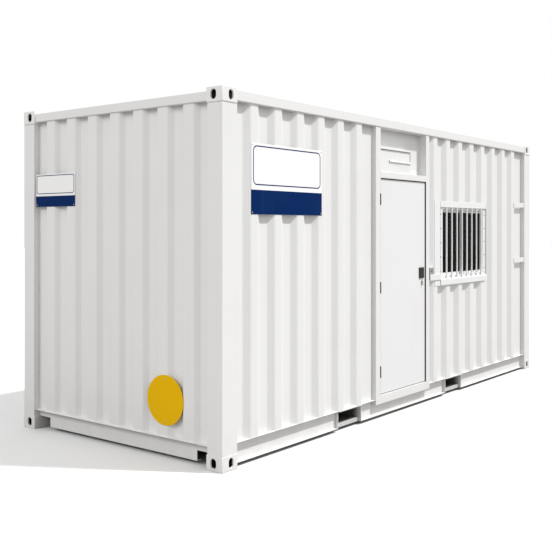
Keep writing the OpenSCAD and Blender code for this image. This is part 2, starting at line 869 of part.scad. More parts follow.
// Flat plate and reveal on the left and right of the window
module window_jambs() {
    color(paint) {
        block([x_win - window_plate_left, y_plate, z_sill_box], [x_win + surround_t, y_crest, z_head_plate]);
        block([x_win, y_crest - eps, z_sill_box], [x_win + surround_t, y_lining_in, z_win_top]);
        block([x_win_end - surround_t, y_plate, z_sill_box],
              [x_win_end + window_plate_right, y_crest, z_head_plate]);
        block([x_win_end - surround_t, y_crest - eps, z_sill_box], [x_win_end, y_lining_in, z_win_top]);
    }
}

module window_head() {
    z_soffit = z_win_top - surround_t;
    profile = [[y_plate, z_head_plate], [y_crest, z_head_plate], [y_crest, z_win_top],
               [y_lining_in, z_win_top], [y_lining_in, z_soffit], [y_plate, z_soffit]];
    color(paint) translate([x_win + surround_t, 0, 0]) rotate([90, 0, 90])
        linear_extrude(window_w - 2 * surround_t) polygon(profile);
}

// A closed box under the window that stands proud of the ribs
module window_sill_box() {
    y_face = y_crest - sill_box_proud;
    profile = [[y_face, z_sill_box], [y_lining_in, z_sill_box], [y_lining_in, window_z],
               [y_fixed, window_z], [y_face, window_z - sill_fall]];
    color(paint) translate([x_win + surround_t, 0, 0]) rotate([90, 0, 90])
        linear_extrude(window_w - 2 * surround_t) polygon(profile);
}

// A rectangular frame standing in the plane of the wall
module upright_frame(low, size, bar, rail) {
    difference() {
        translate(low) cube(size);
        translate(low + [bar, -eps, rail]) cube([size.x - 2 * bar, size.y + 2 * eps, size.z - 2 * rail]);
    }
}

module window_frame() {
    size = [x_fixed_in_end - x_fixed_in, y_lining_in - y_fixed, z_fixed_top - z_fixed];
    color(alu) upright_frame([x_fixed_in, y_fixed, z_fixed], size, fixed_bar, fixed_rail);
}

// The children at the inner sash on the left and at the outer sash on the right
module both_sashes() {
    x = x_fixed_in + fixed_bar;
    translate([x, y_sash + sash_t + sash_gap, z_fixed + fixed_rail]) children();
    translate([x + sash_run - sash_w, y_sash, z_fixed + fixed_rail]) children();
}

module window_sashes() {
    color(alu) both_sashes() upright_frame([0, 0, 0], [sash_w, sash_t, sash_h], sash_bar, sash_bar);
}

module window_glass() {
    color([0.1, 0.12, 0.13]) both_sashes() translate([sash_bar, (sash_t - glass_t) / 2, sash_bar])
        cube([sash_w - 2 * sash_bar, glass_t, sash_h - 2 * sash_bar]);
}

// An open box beside the door, let into the wall, with a flat arm that runs to the window plate
module keeper_bracket() {
    x = x_frame_end + keeper_gap;
    x_plate = x_win - window_plate_left;
    y_out = y_crest - sill_box_proud;
    y_back = y_crest + rib_depth;
    z_arm = keeper_z + arm_h;
    color(paint) difference() {
        union() {
            difference() {
                block([x, y_out, keeper_z], [x + keeper_w, y_back, keeper_z + keeper_h]);
                block([x + keeper_t, y_out - eps, z_arm + keeper_t],
                      [x + keeper_w - keeper_t, y_back - keeper_t, keeper_z + keeper_h - keeper_t]);
            }
            block([x + keeper_w - eps, y_out, keeper_z], [x_plate, y_out + arm_t, z_arm]);
            block([x_plate - arm_t, y_out, keeper_z], [x_win, y_plate, z_arm]);
        }
        translate([x_frame_end, y_crest, keeper_z - eps]) linear_extrude(keeper_h + 2 * eps)
            polygon(concat(right_line, [[right_span, rib_depth + eps], [0, rib_depth + eps]]));
    }
}

// Flat straps from the last rib of the front wall to the right-hand post
module strap_brackets() {
    color(paint) for (z = strap_z)
        block([-x_post_in - strap_reach, y_crest - strap_t, z - strap_h / 2],
              [-x_post_in, y_crest, z + strap_h / 2]);
}

module sign_front() {
    color("white") block([-x_end + sign_s, y_crest - sign_t, sign_z],
                         [-x_end + sign_s + sign_w, y_crest, sign_z + sign_h]);
}

module sign_end() {
    y = -y_side + end_sign_w_at;
    color("white") block([x_crest - sign_t, y - end_sign_w / 2, end_sign_z],
                         [x_crest, y + end_sign_w / 2, end_sign_z + end_sign_h]);
}

module sign_round() {
    color([0.9, 0.68, 0.05]) translate([x_crest, -y_side + disc_w_at, disc_z]) rotate([0, -90, 0])
        cylinder(r = disc_r, h = sign_t, $fn = 96);
}

corner_castings_bottom();
corner_castings_top();
corner_posts();
bottom_side_rail_front();
bottom_side_rail_back();
bottom_end_rails();
cross_members();
fork_pocket_sides();
fork_pocket_tops();
fork_pocket_straps();
top_side_rail_front();
top_side_rail_back();
top_end_rails();
roof_panel();
floor_deck();
end_wall_left();
end_wall_right();
back_wall();
front_wall_left();
front_wall_beside_window();
front_wall_under_window();
front_wall_over_window();
front_wall_right();
lining_back();
lining_ends();
lining_front_left();
lining_front_right();
lining_over_door();
ceiling_panel();
door_jambs();
door_stops();
door_head();
door_sill();
niche_panel();
vent_hood();
door_leaf();
hinge_pins();
hinge_barrels();
lock_plate();
lock_lever();
window_jambs();
window_head();
window_sill_box();
window_frame();
window_sashes();
window_glass();
keeper_bracket();
strap_brackets();
sign_front();
sign_end();
sign_round();
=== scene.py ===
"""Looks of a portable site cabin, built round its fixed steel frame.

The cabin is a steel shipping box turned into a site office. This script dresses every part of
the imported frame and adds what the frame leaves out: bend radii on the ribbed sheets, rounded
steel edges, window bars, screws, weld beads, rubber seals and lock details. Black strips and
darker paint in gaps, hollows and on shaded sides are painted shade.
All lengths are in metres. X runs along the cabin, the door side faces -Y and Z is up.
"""

import logging
import math
from dataclasses import dataclass
from enum import Enum
from functools import partialmethod

import bmesh
import bpy
from mathutils import Euler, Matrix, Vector


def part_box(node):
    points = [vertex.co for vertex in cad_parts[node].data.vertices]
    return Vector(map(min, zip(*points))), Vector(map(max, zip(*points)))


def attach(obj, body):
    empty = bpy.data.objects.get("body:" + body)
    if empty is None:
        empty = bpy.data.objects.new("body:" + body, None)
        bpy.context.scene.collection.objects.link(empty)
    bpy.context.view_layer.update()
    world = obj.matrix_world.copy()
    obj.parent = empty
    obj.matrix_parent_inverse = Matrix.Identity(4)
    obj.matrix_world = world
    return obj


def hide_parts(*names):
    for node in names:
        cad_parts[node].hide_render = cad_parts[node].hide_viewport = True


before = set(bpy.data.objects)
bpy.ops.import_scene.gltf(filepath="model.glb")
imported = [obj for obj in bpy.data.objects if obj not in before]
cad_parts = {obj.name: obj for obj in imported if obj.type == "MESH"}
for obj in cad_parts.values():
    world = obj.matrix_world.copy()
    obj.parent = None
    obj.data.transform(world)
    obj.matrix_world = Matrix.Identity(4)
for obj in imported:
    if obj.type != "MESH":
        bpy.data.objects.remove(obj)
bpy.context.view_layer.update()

logging.basicConfig(level=logging.INFO, format="%(name)s: %(message)s")
LOG = logging.getLogger("cabin")

Colour = tuple[float, float, float]
Point = tuple[float, float, float]
Block = tuple[Point, Point]
Socket = bpy.types.NodeSocket
Sockets = bpy.types.bpy_prop_collection
Node = bpy.types.Node
Tree = bpy.types.NodeTree
Mesh = bpy.types.Mesh
Piece = bpy.types.Object

SOCKET_KINDS = {float: "NodeSocketFloat", int: "NodeSocketInt", tuple: "NodeSocketColor"}
EVEN = (1.0, 1.0, 1.0)
# Name of the face attribute that marks where shade is painted inside hollow parts.
HOLLOW = "hollow"
FACING = "facing"
TO_FRONT = (0.0, -1.0, 0.0)
TO_LEFT = (-1.0, 0.0, 0.0)
# Distances within which points are one, before and after the edges are rounded.
MERGE = 1e-5
SLIVER = 1e-6
RIM_REACH = 1e-4
# Turns between faces: the same flat, a hard crease on shells and beads, an edge of a block.
FLAT_TURN = math.radians(0.5)
SHARP_TURN = 40.0
BEAD_SHARP_TURN = 80.0
BLOCK_TURN = math.radians(50)
# How deep a small part sinks into what it sits on.
SINK = 0.001
MASK = {"Mask": 0.0}
# Run over which the painted shade inside the fork pockets fades into the paint.
SHADE_RUN = 0.10
# Colour of the painted shade under the top rails.
EAVE_SHADE_TONE = (0.26, 0.25, 0.235)


class Body(Enum):
    """The two bodies that a piece can ride on."""

    CABIN = "cabin"
    DOOR = "door"


class Slot(Enum):
    """The record's material slots."""

    CASTING = "casting_paint"
    FRAME = "frame_paint"
    WALL = "wall_paint"
    ROOF = "roof_paint"
    UNDERBODY = "underbody_paint"
    FLOOR = "floor_ply"
    LINING = "lining_board"
    DOOR = "door_paint"
    HINGE = "hinge_steel"
    LOCK = "lock_steel"
    LEVER = "lever_steel"
    WINDOW = "window_paint"
    GLASS = "window_glass"
    KEEPER = "keeper_steel"
    SIGN = "sign_face"
    SIGN_YELLOW = "sign_yellow"


# ---------------------------------------------------------------------- node trees


class Bench:
    """A node tree under construction, with short calls for the usual nodes."""

    def __init__(self, tree: Tree) -> None:
        """Keeps the tree that nodes are added to."""
        self.tree = tree

    def put(self, socket: Socket, value: object) -> None:
        """Links a socket into the input, or sets a plain value; a colour becomes opaque."""
        if isinstance(value, Socket):
            self.tree.links.new(value, socket)
        else:
            socket.default_value = (*value, 1.0) if socket.type == "RGBA" else value

    def fill(self, node: Node, sockets: dict) -> None:
        """Puts a value or a socket into each named or numbered input of a node."""
        for key, value in sockets.items():
            self.put(node.inputs[key], value)

    def node(self, kind: str, sockets: dict | None = None, **settings: object) -> Node:
        """Adds one node.

        Args:
            kind: The node's type name.
            sockets: Input name or index to a value or a socket.
            **settings: The node's own properties.

        Returns:
            The new node.
        """
        made = self.tree.nodes.new(kind)
        for key, value in settings.items():
            setattr(made, key, value)
        self.fill(made, sockets or {})
        return made

    def out(self, kind: str, sockets: dict | None = None, **settings: object) -> Socket:
        """Adds one node, as node() does, and returns its first output."""
        return self.node(kind, sockets, **settings).outputs[0]

    def math(self, operation: str, first: object, second: object = 0.0, clamp=False) -> Socket:
        """Adds a Math node and returns its value."""
        sockets = {0: first, 1: second}
        return self.out("ShaderNodeMath", sockets, operation=operation, use_clamp=clamp)

    add = partialmethod(math, "ADD")
    sub = partialmethod(math, "SUBTRACT")
    mul = partialmethod(math, "MULTIPLY")
    div = partialmethod(math, "DIVIDE")

    def line(self, value: object, scale: object, base: object, clamp=False) -> Socket:
        """Returns value times scale plus base."""
        return self.add(self.mul(value, scale), base, clamp)

    def mix(self, factor: object, first: object, second: object) -> Socket:
        """Mixes two colours and returns the result."""
        sockets = {0: factor, 6: first, 7: second}
        return self.node("ShaderNodeMix", sockets, data_type="RGBA").outputs[2]

    def ramp(self, value: object, low: float, high: float) -> Socket:
        """Maps low..high smoothly to 0..1."""
        sockets = {"Value": value, "From Min": low, "From Max": high}
        return self.out("ShaderNodeMapRange", sockets, interpolation_type="SMOOTHSTEP")

    def noise(self, scale: object, detail=3.0, stretch: Point = EVEN) -> Socket:
        """Adds a Noise Texture on the object's own coordinates and returns its value."""
        sockets = {"Vector": self.place(stretch), "Scale": scale, "Detail": detail}
        return self.out("ShaderNodeTexNoise", sockets)

    def place(self, stretch: Point = EVEN) -> Socket:
        """Returns the object's own coordinates, stretched."""
        own = self.node("ShaderNodeTexCoord").outputs["Object"]
        return self.out("ShaderNodeMapping", {"Vector": own, "Scale": stretch})

    def axes(self) -> Sockets:
        """Returns the object's own X, Y and Z by name."""
        return self.node("ShaderNodeSeparateXYZ", {0: self.place()}).outputs

    def vector(self, x: object = 0.0, y: object = 0.0, z: object = 0.0) -> Socket:
        """Joins three numbers into a vector."""
        return self.out("ShaderNodeCombineXYZ", {0: x, 1: y, 2: z})


def add_sockets(tree: Tree, in_out: str, defaults: dict[str, object]) -> dict[str, str]:
    """Adds named sockets to a node group, each of its default's type.

    Args:
        tree: The node group.
        in_out: INPUT or OUTPUT.
        defaults: Socket name to its default, a number or a colour.

    Returns:
        Socket name to its identifier.
    """
    keys = {}
    for label, default in defaults.items():
        kind = SOCKET_KINDS[type(default)]
        socket = tree.interface.new_socket(name=label, in_out=in_out, socket_type=kind)
        socket.default_value = (*default, 1.0) if isinstance(default, tuple) else default
        keys[label] = socket.identifier
    return keys


def new_group(name: str, inputs: dict, outputs: dict) -> tuple[Bench, Sockets, Sockets]:
    """Makes an empty shader node group with named sockets.

    Args:
        name: The group's name.
        inputs: Socket name to its default, a number or a colour.
        outputs: The same for the outputs.

    Returns:
        The bench for the group's tree, its input sockets and its output sockets, by name.
    """
    tree = bpy.data.node_groups.new(name, "ShaderNodeTree")
    add_sockets(tree, "INPUT", inputs)
    add_sockets(tree, "OUTPUT", outputs)
    entry = tree.nodes.new("NodeGroupInput")
    leave = tree.nodes.new("NodeGroupOutput")
    return Bench(tree), entry.outputs, leave.inputs


class ShaderGroups:
    """Effects that several finishes share, each built once as a shader node group."""

    made: dict[str, Tree] = {}

    @classmethod
    def use(cls, bench: Bench, name: str, sockets: dict | None = None) -> Sockets:
        """Places the named group in a material.

        Args:
            bench: The material's bench.
            name: relief, weather, eave, edge_wear, grain or sign_layout.
            sockets: Input name to a value or a socket.

        Returns:
            The group's outputs.
        """
        if name not in cls.made:
            cls.made[name] = getattr(cls, name)()
        return bench.node("ShaderNodeGroup", sockets, node_tree=cls.made[name]).outputs

    @staticmethod
    def relief() -> Tree:
        """Slow waves of a thin sheet and the fine skin of sprayed paint, as a height in metres."""
        inputs = {"Waves": 0.0004, "Peel": 0.00002}
        bench, ins, outs = new_group("surface_relief", inputs, {"Height": 0.0})
        peel = bench.mul(bench.noise(scale=420.0, detail=2.0), ins["Peel"])
        waves = bench.noise(scale=2.4, detail=1.0, stretch=(1.0, 1.0, 0.6))
        bench.put(outs["Height"], bench.line(waves, ins["Waves"], peel))
        return bench.tree

    @staticmethod
    def weather() -> Tree:
        """Dust that settles in clouds, runs down in streaks and splashes up from the ground."""
        inputs = {
            "Paint": (0.8, 0.8, 0.8), "Dirt": (0.4, 0.36, 0.3), "Clouds": 0.1, "Streaks": 0.1,
            "Splash": 0.1, "Splash Height": 0.5,
        }
        bench, ins, outs = new_group("weather", inputs, {"Colour": (0.0, 0.0, 0.0), **MASK})
        clouds = bench.ramp(bench.noise(scale=1.7), low=0.42, high=0.72)
        runs = bench.noise(scale=17.0, detail=4.0, stretch=(1.0, 1.0, 0.05))
        streaks = bench.ramp(runs, low=0.55, high=0.8)
        height = bench.div(bench.axes()["Z"], ins["Splash Height"])
        rise = bench.sub(1.0, height, clamp=True)
        drops = bench.noise(scale=9.0, detail=5.0)
        splash = bench.mul(rise, bench.ramp(drops, low=0.3, high=0.7))
        total = bench.mul(clouds, ins["Clouds"])
        total = bench.line(streaks, ins["Streaks"], total)
        total = bench.line(splash, ins["Splash"], total, clamp=True)
        bench.put(outs["Mask"], total)
        bench.put(outs["Colour"], bench.mix(total, ins["Paint"], ins["Dirt"]))
        return bench.tree

    @staticmethod
    def eave() -> Tree:
        """Painted shade in the hollows of the ribbed walls, close under the top rails."""
        inputs = {"Low": 2.72, "Top": 2.8, "Side": 1.203, "End": 3.007, "Depth": 0.026}
        bench, ins, outs = new_group("eave_painted_shade", inputs, MASK)
        place = bench.axes()
        reach = bench.sub(ins["Top"], ins["Low"])
        above = bench.sub(place["Z"], ins["Low"])
        mask = bench.math("POWER", bench.div(above, reach, clamp=True), 1.5)
        for axis, crest in (("Y", "Side"), ("X", "End")):
            behind = bench.sub(ins[crest], bench.math("ABSOLUTE", place[axis]))
            depth = bench.div(behind, ins["Depth"], clamp=True)
            mask = bench.mul(mask, depth)
        patches = bench.noise(scale=14.0, detail=4.0)
        broken = bench.line(bench.ramp(patches, low=0.1, high=0.6), scale=0.25, base=0.75)
        bench.put(outs["Mask"], bench.mul(mask, broken))
        return bench.tree

    @staticmethod
    def edge_wear() -> Tree:
        """Broken patches along outer edges, where paint is rubbed thin."""
        bench, ins, outs = new_group("edge_wear", {"Amount": 0.3, "Patch Scale": 30.0}, MASK)
        rounded = bench.out("ShaderNodeBevel", {"Radius": 0.006}, samples=4)
        true = bench.node("ShaderNodeNewGeometry").outputs["Normal"]
        sockets = {0: rounded, 1: true}
        compared = bench.node("ShaderNodeVectorMath", sockets, operation="DOT_PRODUCT")
        turn = bench.sub(1.0, compared.outputs["Value"], clamp=True)
        edge = bench.ramp(turn, low=0.02, high=0.16)
        patches = bench.noise(ins["Patch Scale"], detail=2.0)
        broken = bench.mul(edge, bench.ramp(patches, low=0.5, high=0.66))
        bench.put(outs["Mask"], bench.mul(broken, ins["Amount"], clamp=True))
        return bench.tree

    @staticmethod
    def grain() -> Tree:
        """Long streaks of wood or brushed metal along X."""
        bench, ins, outs = new_group("grain", {"Scale": 40.0, "Contrast": 0.5}, MASK)
        lines = bench.out("ShaderNodeTexNoise", {
            "Vector": bench.place((0.05, 1.0, 1.0)), "Scale": ins["Scale"], "Detail": 5.0,
            "Distortion": 0.4,
        })
        centred = bench.sub(lines, 0.5)
        contrast = bench.mul(ins["Contrast"], 4.0)
        bench.put(outs["Mask"], bench.line(centred, contrast, 0.5, clamp=True))
        return bench.tree

    @staticmethod
    def sign_layout() -> Tree:
        """A plain band along a board's foot and a thin rounded line round the space above it."""
        bench, ins, outs = new_group("sign_layout", {
            "Across": 0.0, "Up": 0.0, "Band": 0.2, "Half Width": 0.4, "Half Height": 0.1,
            "Middle": 0.3, "Radius": 0.03, "Line": 0.006,
        }, MASK)
        reach = []
        up = bench.sub(ins["Up"], ins["Middle"])
        for place, half in ((ins["Across"], "Half Width"), (up, "Half Height")):
            inner = bench.sub(ins[half], ins["Radius"])
            reach.append(bench.sub(bench.math("ABSOLUTE", place), inner))
        across, upward = (bench.math("MAXIMUM", part, 0.0) for part in reach)
        square = bench.line(across, across, bench.mul(upward, upward))
        inside = bench.math("MINIMUM", bench.math("MAXIMUM", *reach), 0.0)
        outside = bench.add(bench.math("SQRT", square), inside)
        distance = bench.math("ABSOLUTE", bench.sub(outside, ins["Radius"]))
        line = bench.math("LESS_THAN", distance, bench.mul(ins["Line"], 0.5))
        band = bench.math("LESS_THAN", ins["Up"], ins["Band"])
        bench.put(outs["Mask"], bench.math("MAXIMUM", line, band))
        return bench.tree


# ---------------------------------------------------------------------- finishes


class Finish:
    """Anything that gives one procedural material, built once."""

    name: str
    cache: dict[str, bpy.types.Material] = {}

    def material(self) -> bpy.types.Material:
        """Returns the finish's material, building it on first use."""
        if self.name not in Finish.cache:
            made = bpy.data.materials.new(self.name)
            made.use_nodes = True
            made.node_tree.nodes.clear()
            bench = Bench(made.node_tree)
            shader = bench.node("ShaderNodeBsdfPrincipled")
            bench.node("ShaderNodeOutputMaterial", {"Surface": shader.outputs[0]})
            self.paint(bench, shader)
            Finish.cache[self.name] = made
        return Finish.cache[self.name]

    def paint(self, bench: Bench, shader: Node) -> None:
        """Fills in the material; each finish has its own.

        Args:
            bench: The material's bench.
            shader: The Principled BSDF.
        """
        raise NotImplementedError


def set_bump(bench: Bench, shader: Node, height: Socket, depth: float, rounding=0.0) -> None:
    """Drives the shader's normal from a height and, if asked, a soft rounding of the edges.

    Args:
        bench: The material's bench.
        shader: The Principled BSDF.
        height: The height socket.
        depth: The height's size in metres when the socket gives 1.
        rounding: Radius of the rounding, or 0 for none.
    """
    sockets = {"Height": height, "Distance": depth, "Strength": 1.0}
    if rounding > 0.0:
        sockets["Normal"] = bench.out("ShaderNodeBevel", {"Radius": rounding}, samples=4)
    bench.put(shader.inputs["Normal"], bench.out("ShaderNodeBump", sockets))


@dataclass(frozen=True)
class Enamel(Finish):
    """Sprayed enamel over steel, with dust, streaks and a little wear along its edges."""

    name: str
    colour: Colour
    roughness: float = 0.42
    dirt: Colour = (0.36, 0.32, 0.27)
    clouds: float = 0.03
    streaks: float = 0.05
    splash: float = 0.10
    splash_height: float = 0.5
    dulling: float = 0.5
    waves: float = 0.0005
    wear: float = 0.0
    worn: Colour = (0.30, 0.28, 0.26)
    rounding: float = 0.0
    gloss: float = 0.35
    # Dark tone of the painted shade, deep in hollows and inside the fork pockets.
    shade_tone: Colour = (0.03, 0.028, 0.025)
    # True paints shade on the faces marked as deep inside a hollow.
    hollow: bool = False
    # Painted shade inward of this distance from the middle in Y; 0 for none.
    shade_from: float = 0.0
    # Strength of the painted shade in the rib hollows under the top rails.
    eave_shade: float = 0.0

    def paint_colour(self, bench: Bench) -> Colour | Socket:
        """Returns the clean paint's colour."""
        return self.colour

    def paint(self, bench: Bench, shader: Node) -> None:
        """Weathered paint, worn edges, and a bump from the sheet's waves and the paint's skin."""
        weather = ShaderGroups.use(bench, "weather", {
            "Paint": self.paint_colour(bench), "Dirt": self.dirt, "Clouds": self.clouds,
            "Streaks": self.streaks, "Splash": self.splash, "Splash Height": self.splash_height,
        })
        colour = weather["Colour"]
        if self.wear > 0.0:
            edges = ShaderGroups.use(bench, "edge_wear", {"Amount": self.wear})["Mask"]
            colour = bench.mix(edges, colour, self.worn)
        # Painted shade: faces marked deep inside a hollow, such as the castings' holes, take the
        # dark tone.
        if self.hollow:
            inside = bench.node("ShaderNodeAttribute", attribute_name=HOLLOW).outputs["Fac"]
            colour = bench.mix(inside, colour, self.shade_tone)
        # Painted shade: the paint turns to the dark tone deeper inside, as in the fork pockets.
        if self.shade_from > 0.0:
            across = bench.math("ABSOLUTE", bench.axes()["Y"])
            near = bench.ramp(across, self.shade_from - SHADE_RUN, self.shade_from)
            colour = bench.mix(near, self.shade_tone, colour)
        # Painted shade under the top rails, in the hollows of the ribs.
        if self.eave_shade > 0.0:
            eave = bench.mul(ShaderGroups.use(bench, "eave")["Mask"], self.eave_shade)
            colour = bench.mix(eave, colour, EAVE_SHADE_TONE)
        bench.fill(shader, {
            "Base Color": colour,
            "Roughness": bench.line(weather["Mask"], self.dulling, self.roughness, clamp=True),
            "Specular IOR Level": self.gloss,
        })
        relief = ShaderGroups.use(bench, "relief", {"Waves": self.waves})
        set_bump(bench, shader, relief["Height"], 1.0, self.rounding)


@dataclass(frozen=True)
class SignFace(Enamel):
    """A white board with a plain dark blue band and a thin rounded line, bare of lettering."""

    roughness: float = 0.4
    dirt: Colour = (0.4, 0.36, 0.3)
    clouds: float = 0.008
    streaks: float = 0.012
    splash: float = 0.0
    dulling: float = 1.0
    waves: float = 0.0004
    gloss: float = 0.03
    blue: Colour = (0.0, 0.0185, 0.102)
    node: str = ""
    across: str = "X"
    band: float = 0.0
    line_span: tuple[float, float] = (0.0, 0.0)
    inset: float = 0.0
    radius: float = 0.0
    line: float = 0.0

    def paint_colour(self, bench: Bench) -> Socket:
        """Lays the band and the line out from the board's own box."""
        low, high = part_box(self.node)
        axis = "XYZ".index(self.across)
        place = bench.axes()
        line_low, line_high = self.line_span
        layout = ShaderGroups.use(bench, "sign_layout", {
            "Across": bench.sub(place[self.across], ((low + high) / 2)[axis]),
            "Up": bench.sub(place["Z"], low.z), "Band": self.band,
            "Half Width": (high[axis] - low[axis]) / 2 - self.inset,
            "Half Height": (line_high - line_low) / 2, "Middle": (line_high + line_low) / 2,
            "Radius": self.radius, "Line": self.line,
        })
        return bench.mix(layout["Mask"], self.colour, self.blue)


@dataclass(frozen=True)
class TwoTone(Finish):
    """Two colours mixed by one mask, with a roughness and a bump that come from another."""

    name: str
    colour: Colour
    other: Colour
    roughness: float
    dulling: float
    relief: float
    rounding: float = 0.0
    metallic: float = 0.0
    clearness: float = 0.0
    gloss: float = 0.5

    def masks(self, bench: Bench) -> tuple[Socket, Socket]:
        """Returns the mask of the other colour and the mask of the skin."""
        raise NotImplementedError

    def paint(self, bench: Bench, shader: Node) -> None:
        """Mixes the colours and gives the skin its roughness and its bump."""
        tone, skin = self.masks(bench)
        bench.fill(shader, {
            "Base Color": bench.mix(tone, self.colour, self.other),
            "Roughness": bench.line(skin, self.dulling, self.roughness),
            "Metallic": self.metallic, "Transmission Weight": self.clearness,
            "Specular IOR Level": self.gloss,
        })
        set_bump(bench, shader, skin, self.relief, self.rounding)


@dataclass(frozen=True)
class DarkSteel(TwoTone):
    """Black or dark grey painted steel, rubbed brighter at its edges."""

    other: Colour = (0.28, 0.27, 0.26)
    roughness: float = 0.30
    dulling: float = 0.3
    metallic: float = 0.3
    relief: float = 0.00004
    rounding: float = 0.001
    wear: float = 0.5

    def masks(self, bench: Bench) -> tuple[Socket, Socket]:
        """Rubbed edges and a mottled skin."""
        worn = ShaderGroups.use(bench, "edge_wear", {"Amount": self.wear, "Patch Scale": 70.0})
        return worn["Mask"], bench.noise(scale=60.0)


@dataclass(frozen=True)
class BareSteel(TwoTone):
    """Zinc-plated or worn bright steel with faint brushing."""

    colour: Colour = (0.39, 0.39, 0.375)
    other: Colour = (0.52, 0.52, 0.50)
    roughness: float = 0.38
    dulling: float = 0.15
    metallic: float = 0.8
    relief: float = 0.00003
    rounding: float = 0.0008

    def masks(self, bench: Bench) -> tuple[Socket, Socket]:
        """Spangles and a brushed skin."""
        sockets = {"Vector": bench.place(), "Scale": 120.0}
        spangle = bench.node("ShaderNodeTexVoronoi", sockets).outputs["Color"]
        brushed = ShaderGroups.use(bench, "grain", {"Scale": 300.0})["Mask"]
        return bench.out("ShaderNodeRGBToBW", {0: spangle}), brushed


@dataclass(frozen=True)
class FacedBoard(TwoTone):
    """Plain faced lining board, slightly cloudy, with a very fine stipple."""

    colour: Colour = (0.6696, 0.6603, 0.6231)
    other: Colour = (0.72, 0.71, 0.67)
    roughness: float = 0.5
    dulling: float = 0.1
    relief: float = 0.0001

    def masks(self, bench: Bench) -> tuple[Socket, Socket]:
        """Slow clouds and a stippled skin."""
        return bench.noise(scale=2.0), bench.noise(scale=260.0)


@dataclass(frozen=True)
class Filmed(TwoTone):
    """A dark material under a patchy film: chalk on rubber or dust on glass."""

    scale: float = 45.0
    detail: float = 4.0
    film_from: float = 0.45
    film_to: float = 0.8

    def masks(self, bench: Bench) -> tuple[Socket, Socket]:
        """The patches of the film, for both."""
        patches = bench.noise(self.scale, self.detail)
        film = bench.ramp(patches, self.film_from, self.film_to)
        return film, film


@dataclass(frozen=True)
class Plywood(Finish):
    """Varnished plywood deck with long grain and sheet joints."""

    name: str
    light: Colour = (0.42, 0.28, 0.15)
    dark: Colour = (0.20, 0.12, 0.06)
    sheet: float = 1.2
    joint_share: float = 0.004
    joint: Colour = (0.05, 0.035, 0.02)
    roughness: float = 0.3
    scuffing: float = 0.3
    relief: float = 0.0002

    def paint(self, bench: Bench, shader: Node) -> None:
        """Grain between two browns, dark joints across the cabin and scuffed varnish."""
        grain = ShaderGroups.use(bench, "grain", {"Scale": 26.0, "Contrast": 0.7})["Mask"]
        share = bench.math("FRACT", bench.div(bench.axes()["X"], self.sheet))
        joint = bench.math("LESS_THAN", share, self.joint_share)
        scuff = bench.noise(scale=14.0, detail=5.0)
        bench.fill(shader, {
            "Base Color": bench.mix(joint, bench.mix(grain, self.dark, self.light), self.joint),
            "Roughness": bench.line(scuff, self.scuffing, self.roughness),
        })
        set_bump(bench, shader, grain, self.relief)


@dataclass(frozen=True)
class PaleFloor(Finish):
    """The plain pale studio floor, which throws less light back up than it shows."""

    name: str
    colour: Colour = (0.80, 0.80, 0.80)
    lighter: Colour = (0.816, 0.816, 0.816)
    bounce: Colour = (0.28, 0.275, 0.27)
    roughness: float = 0.9
    gloss: float = 0.1

    def paint(self, bench: Bench, shader: Node) -> None:
        """Matt, very slightly cloudy."""
        shown = bench.mix(bench.noise(scale=0.7), self.colour, self.lighter)
        seen = bench.node("ShaderNodeLightPath").outputs["Is Camera Ray"]
        bench.fill(shader, {
            "Base Color": bench.mix(seen, self.bounce, shown), "Roughness": self.roughness,
            "Specular IOR Level": self.gloss,
        })


WHITE = (0.75, 0.75, 0.745)
FRAME_ENAMEL = Enamel("frame_enamel", WHITE, rounding=0.003, wear=0.12)
# The walls carry painted shade in the rib hollows under the top rails.
WALL_ENAMEL = Enamel("wall_enamel", WHITE, waves=0.0009, eave_shade=0.6)
# The roof's paint is a darker grey than the walls' white: painted shade that keeps the roof under
# the high key light from washing out.
ROOF_ENAMEL = Enamel(
    "roof_enamel", (0.41, 0.41, 0.402), clouds=0.3, streaks=0.1, splash=0.0, roughness=0.6
)
DOOR_ENAMEL = Enamel("door_enamel", (0.76, 0.755, 0.765), waves=0.0003, streaks=0.03, splash=0.05)
# The castings are painted with shade deep inside their holes.
CASTING_ENAMEL = Enamel(
    "casting_enamel", (0.77, 0.77, 0.76), roughness=0.5, wear=0.35, splash=0.2, waves=0.0002,
    hollow=True,
)
# The fork pockets are painted with shade deeper inside them.
POCKET_ENAMEL = Enamel(
    "pocket_enamel", WHITE, shade_from=1.19, shade_tone=(0.10, 0.098, 0.092), waves=0.0002, splash=0.2
)
UNDERBODY_COAT = Enamel(
    "underbody_coat", (0.05, 0.05, 0.05), roughness=0.75, clouds=0.3, splash=0.4
)
WINDOW_ENAMEL = Enamel(
    "window_enamel", (0.76, 0.77, 0.77), waves=0.0, streaks=0.02, splash=0.0, rounding=0.0015
)
# The bars' paint is lighter than the window's: painted light that makes up for the shade on the
# bars' rounded sides.
BAR_ENAMEL = Enamel("bar_enamel", (0.86, 0.86, 0.855), waves=0.0, streaks=0.02, splash=0.0)
HINGE_STEEL = DarkSteel("hinge_steel", (0.012, 0.012, 0.012))
LOCK_STEEL = DarkSteel("lock_steel", (0.016, 0.016, 0.015), wear=0.8)
PLATED_STEEL = BareSteel("plated_steel")
GREY_ZINC = BareSteel(
    "grey_zinc", (0.315, 0.315, 0.3075), (0.42, 0.42, 0.41), metallic=0.35, roughness=0.5
)
DECK_PLY = Plywood("deck_ply")
LINING_BOARD = FacedBoard("lining_board")
# Black rubber for the door seal and the pane gaskets; the same black also paints shade in gaps and
# on shaded sides.
BLACK_RUBBER_AND_SHADE = Filmed(
    "black_rubber_and_painted_shade", (0.012, 0.012, 0.012), (0.05, 0.05, 0.048), roughness=0.6, dulling=0.2,
    relief=0.00005,
)
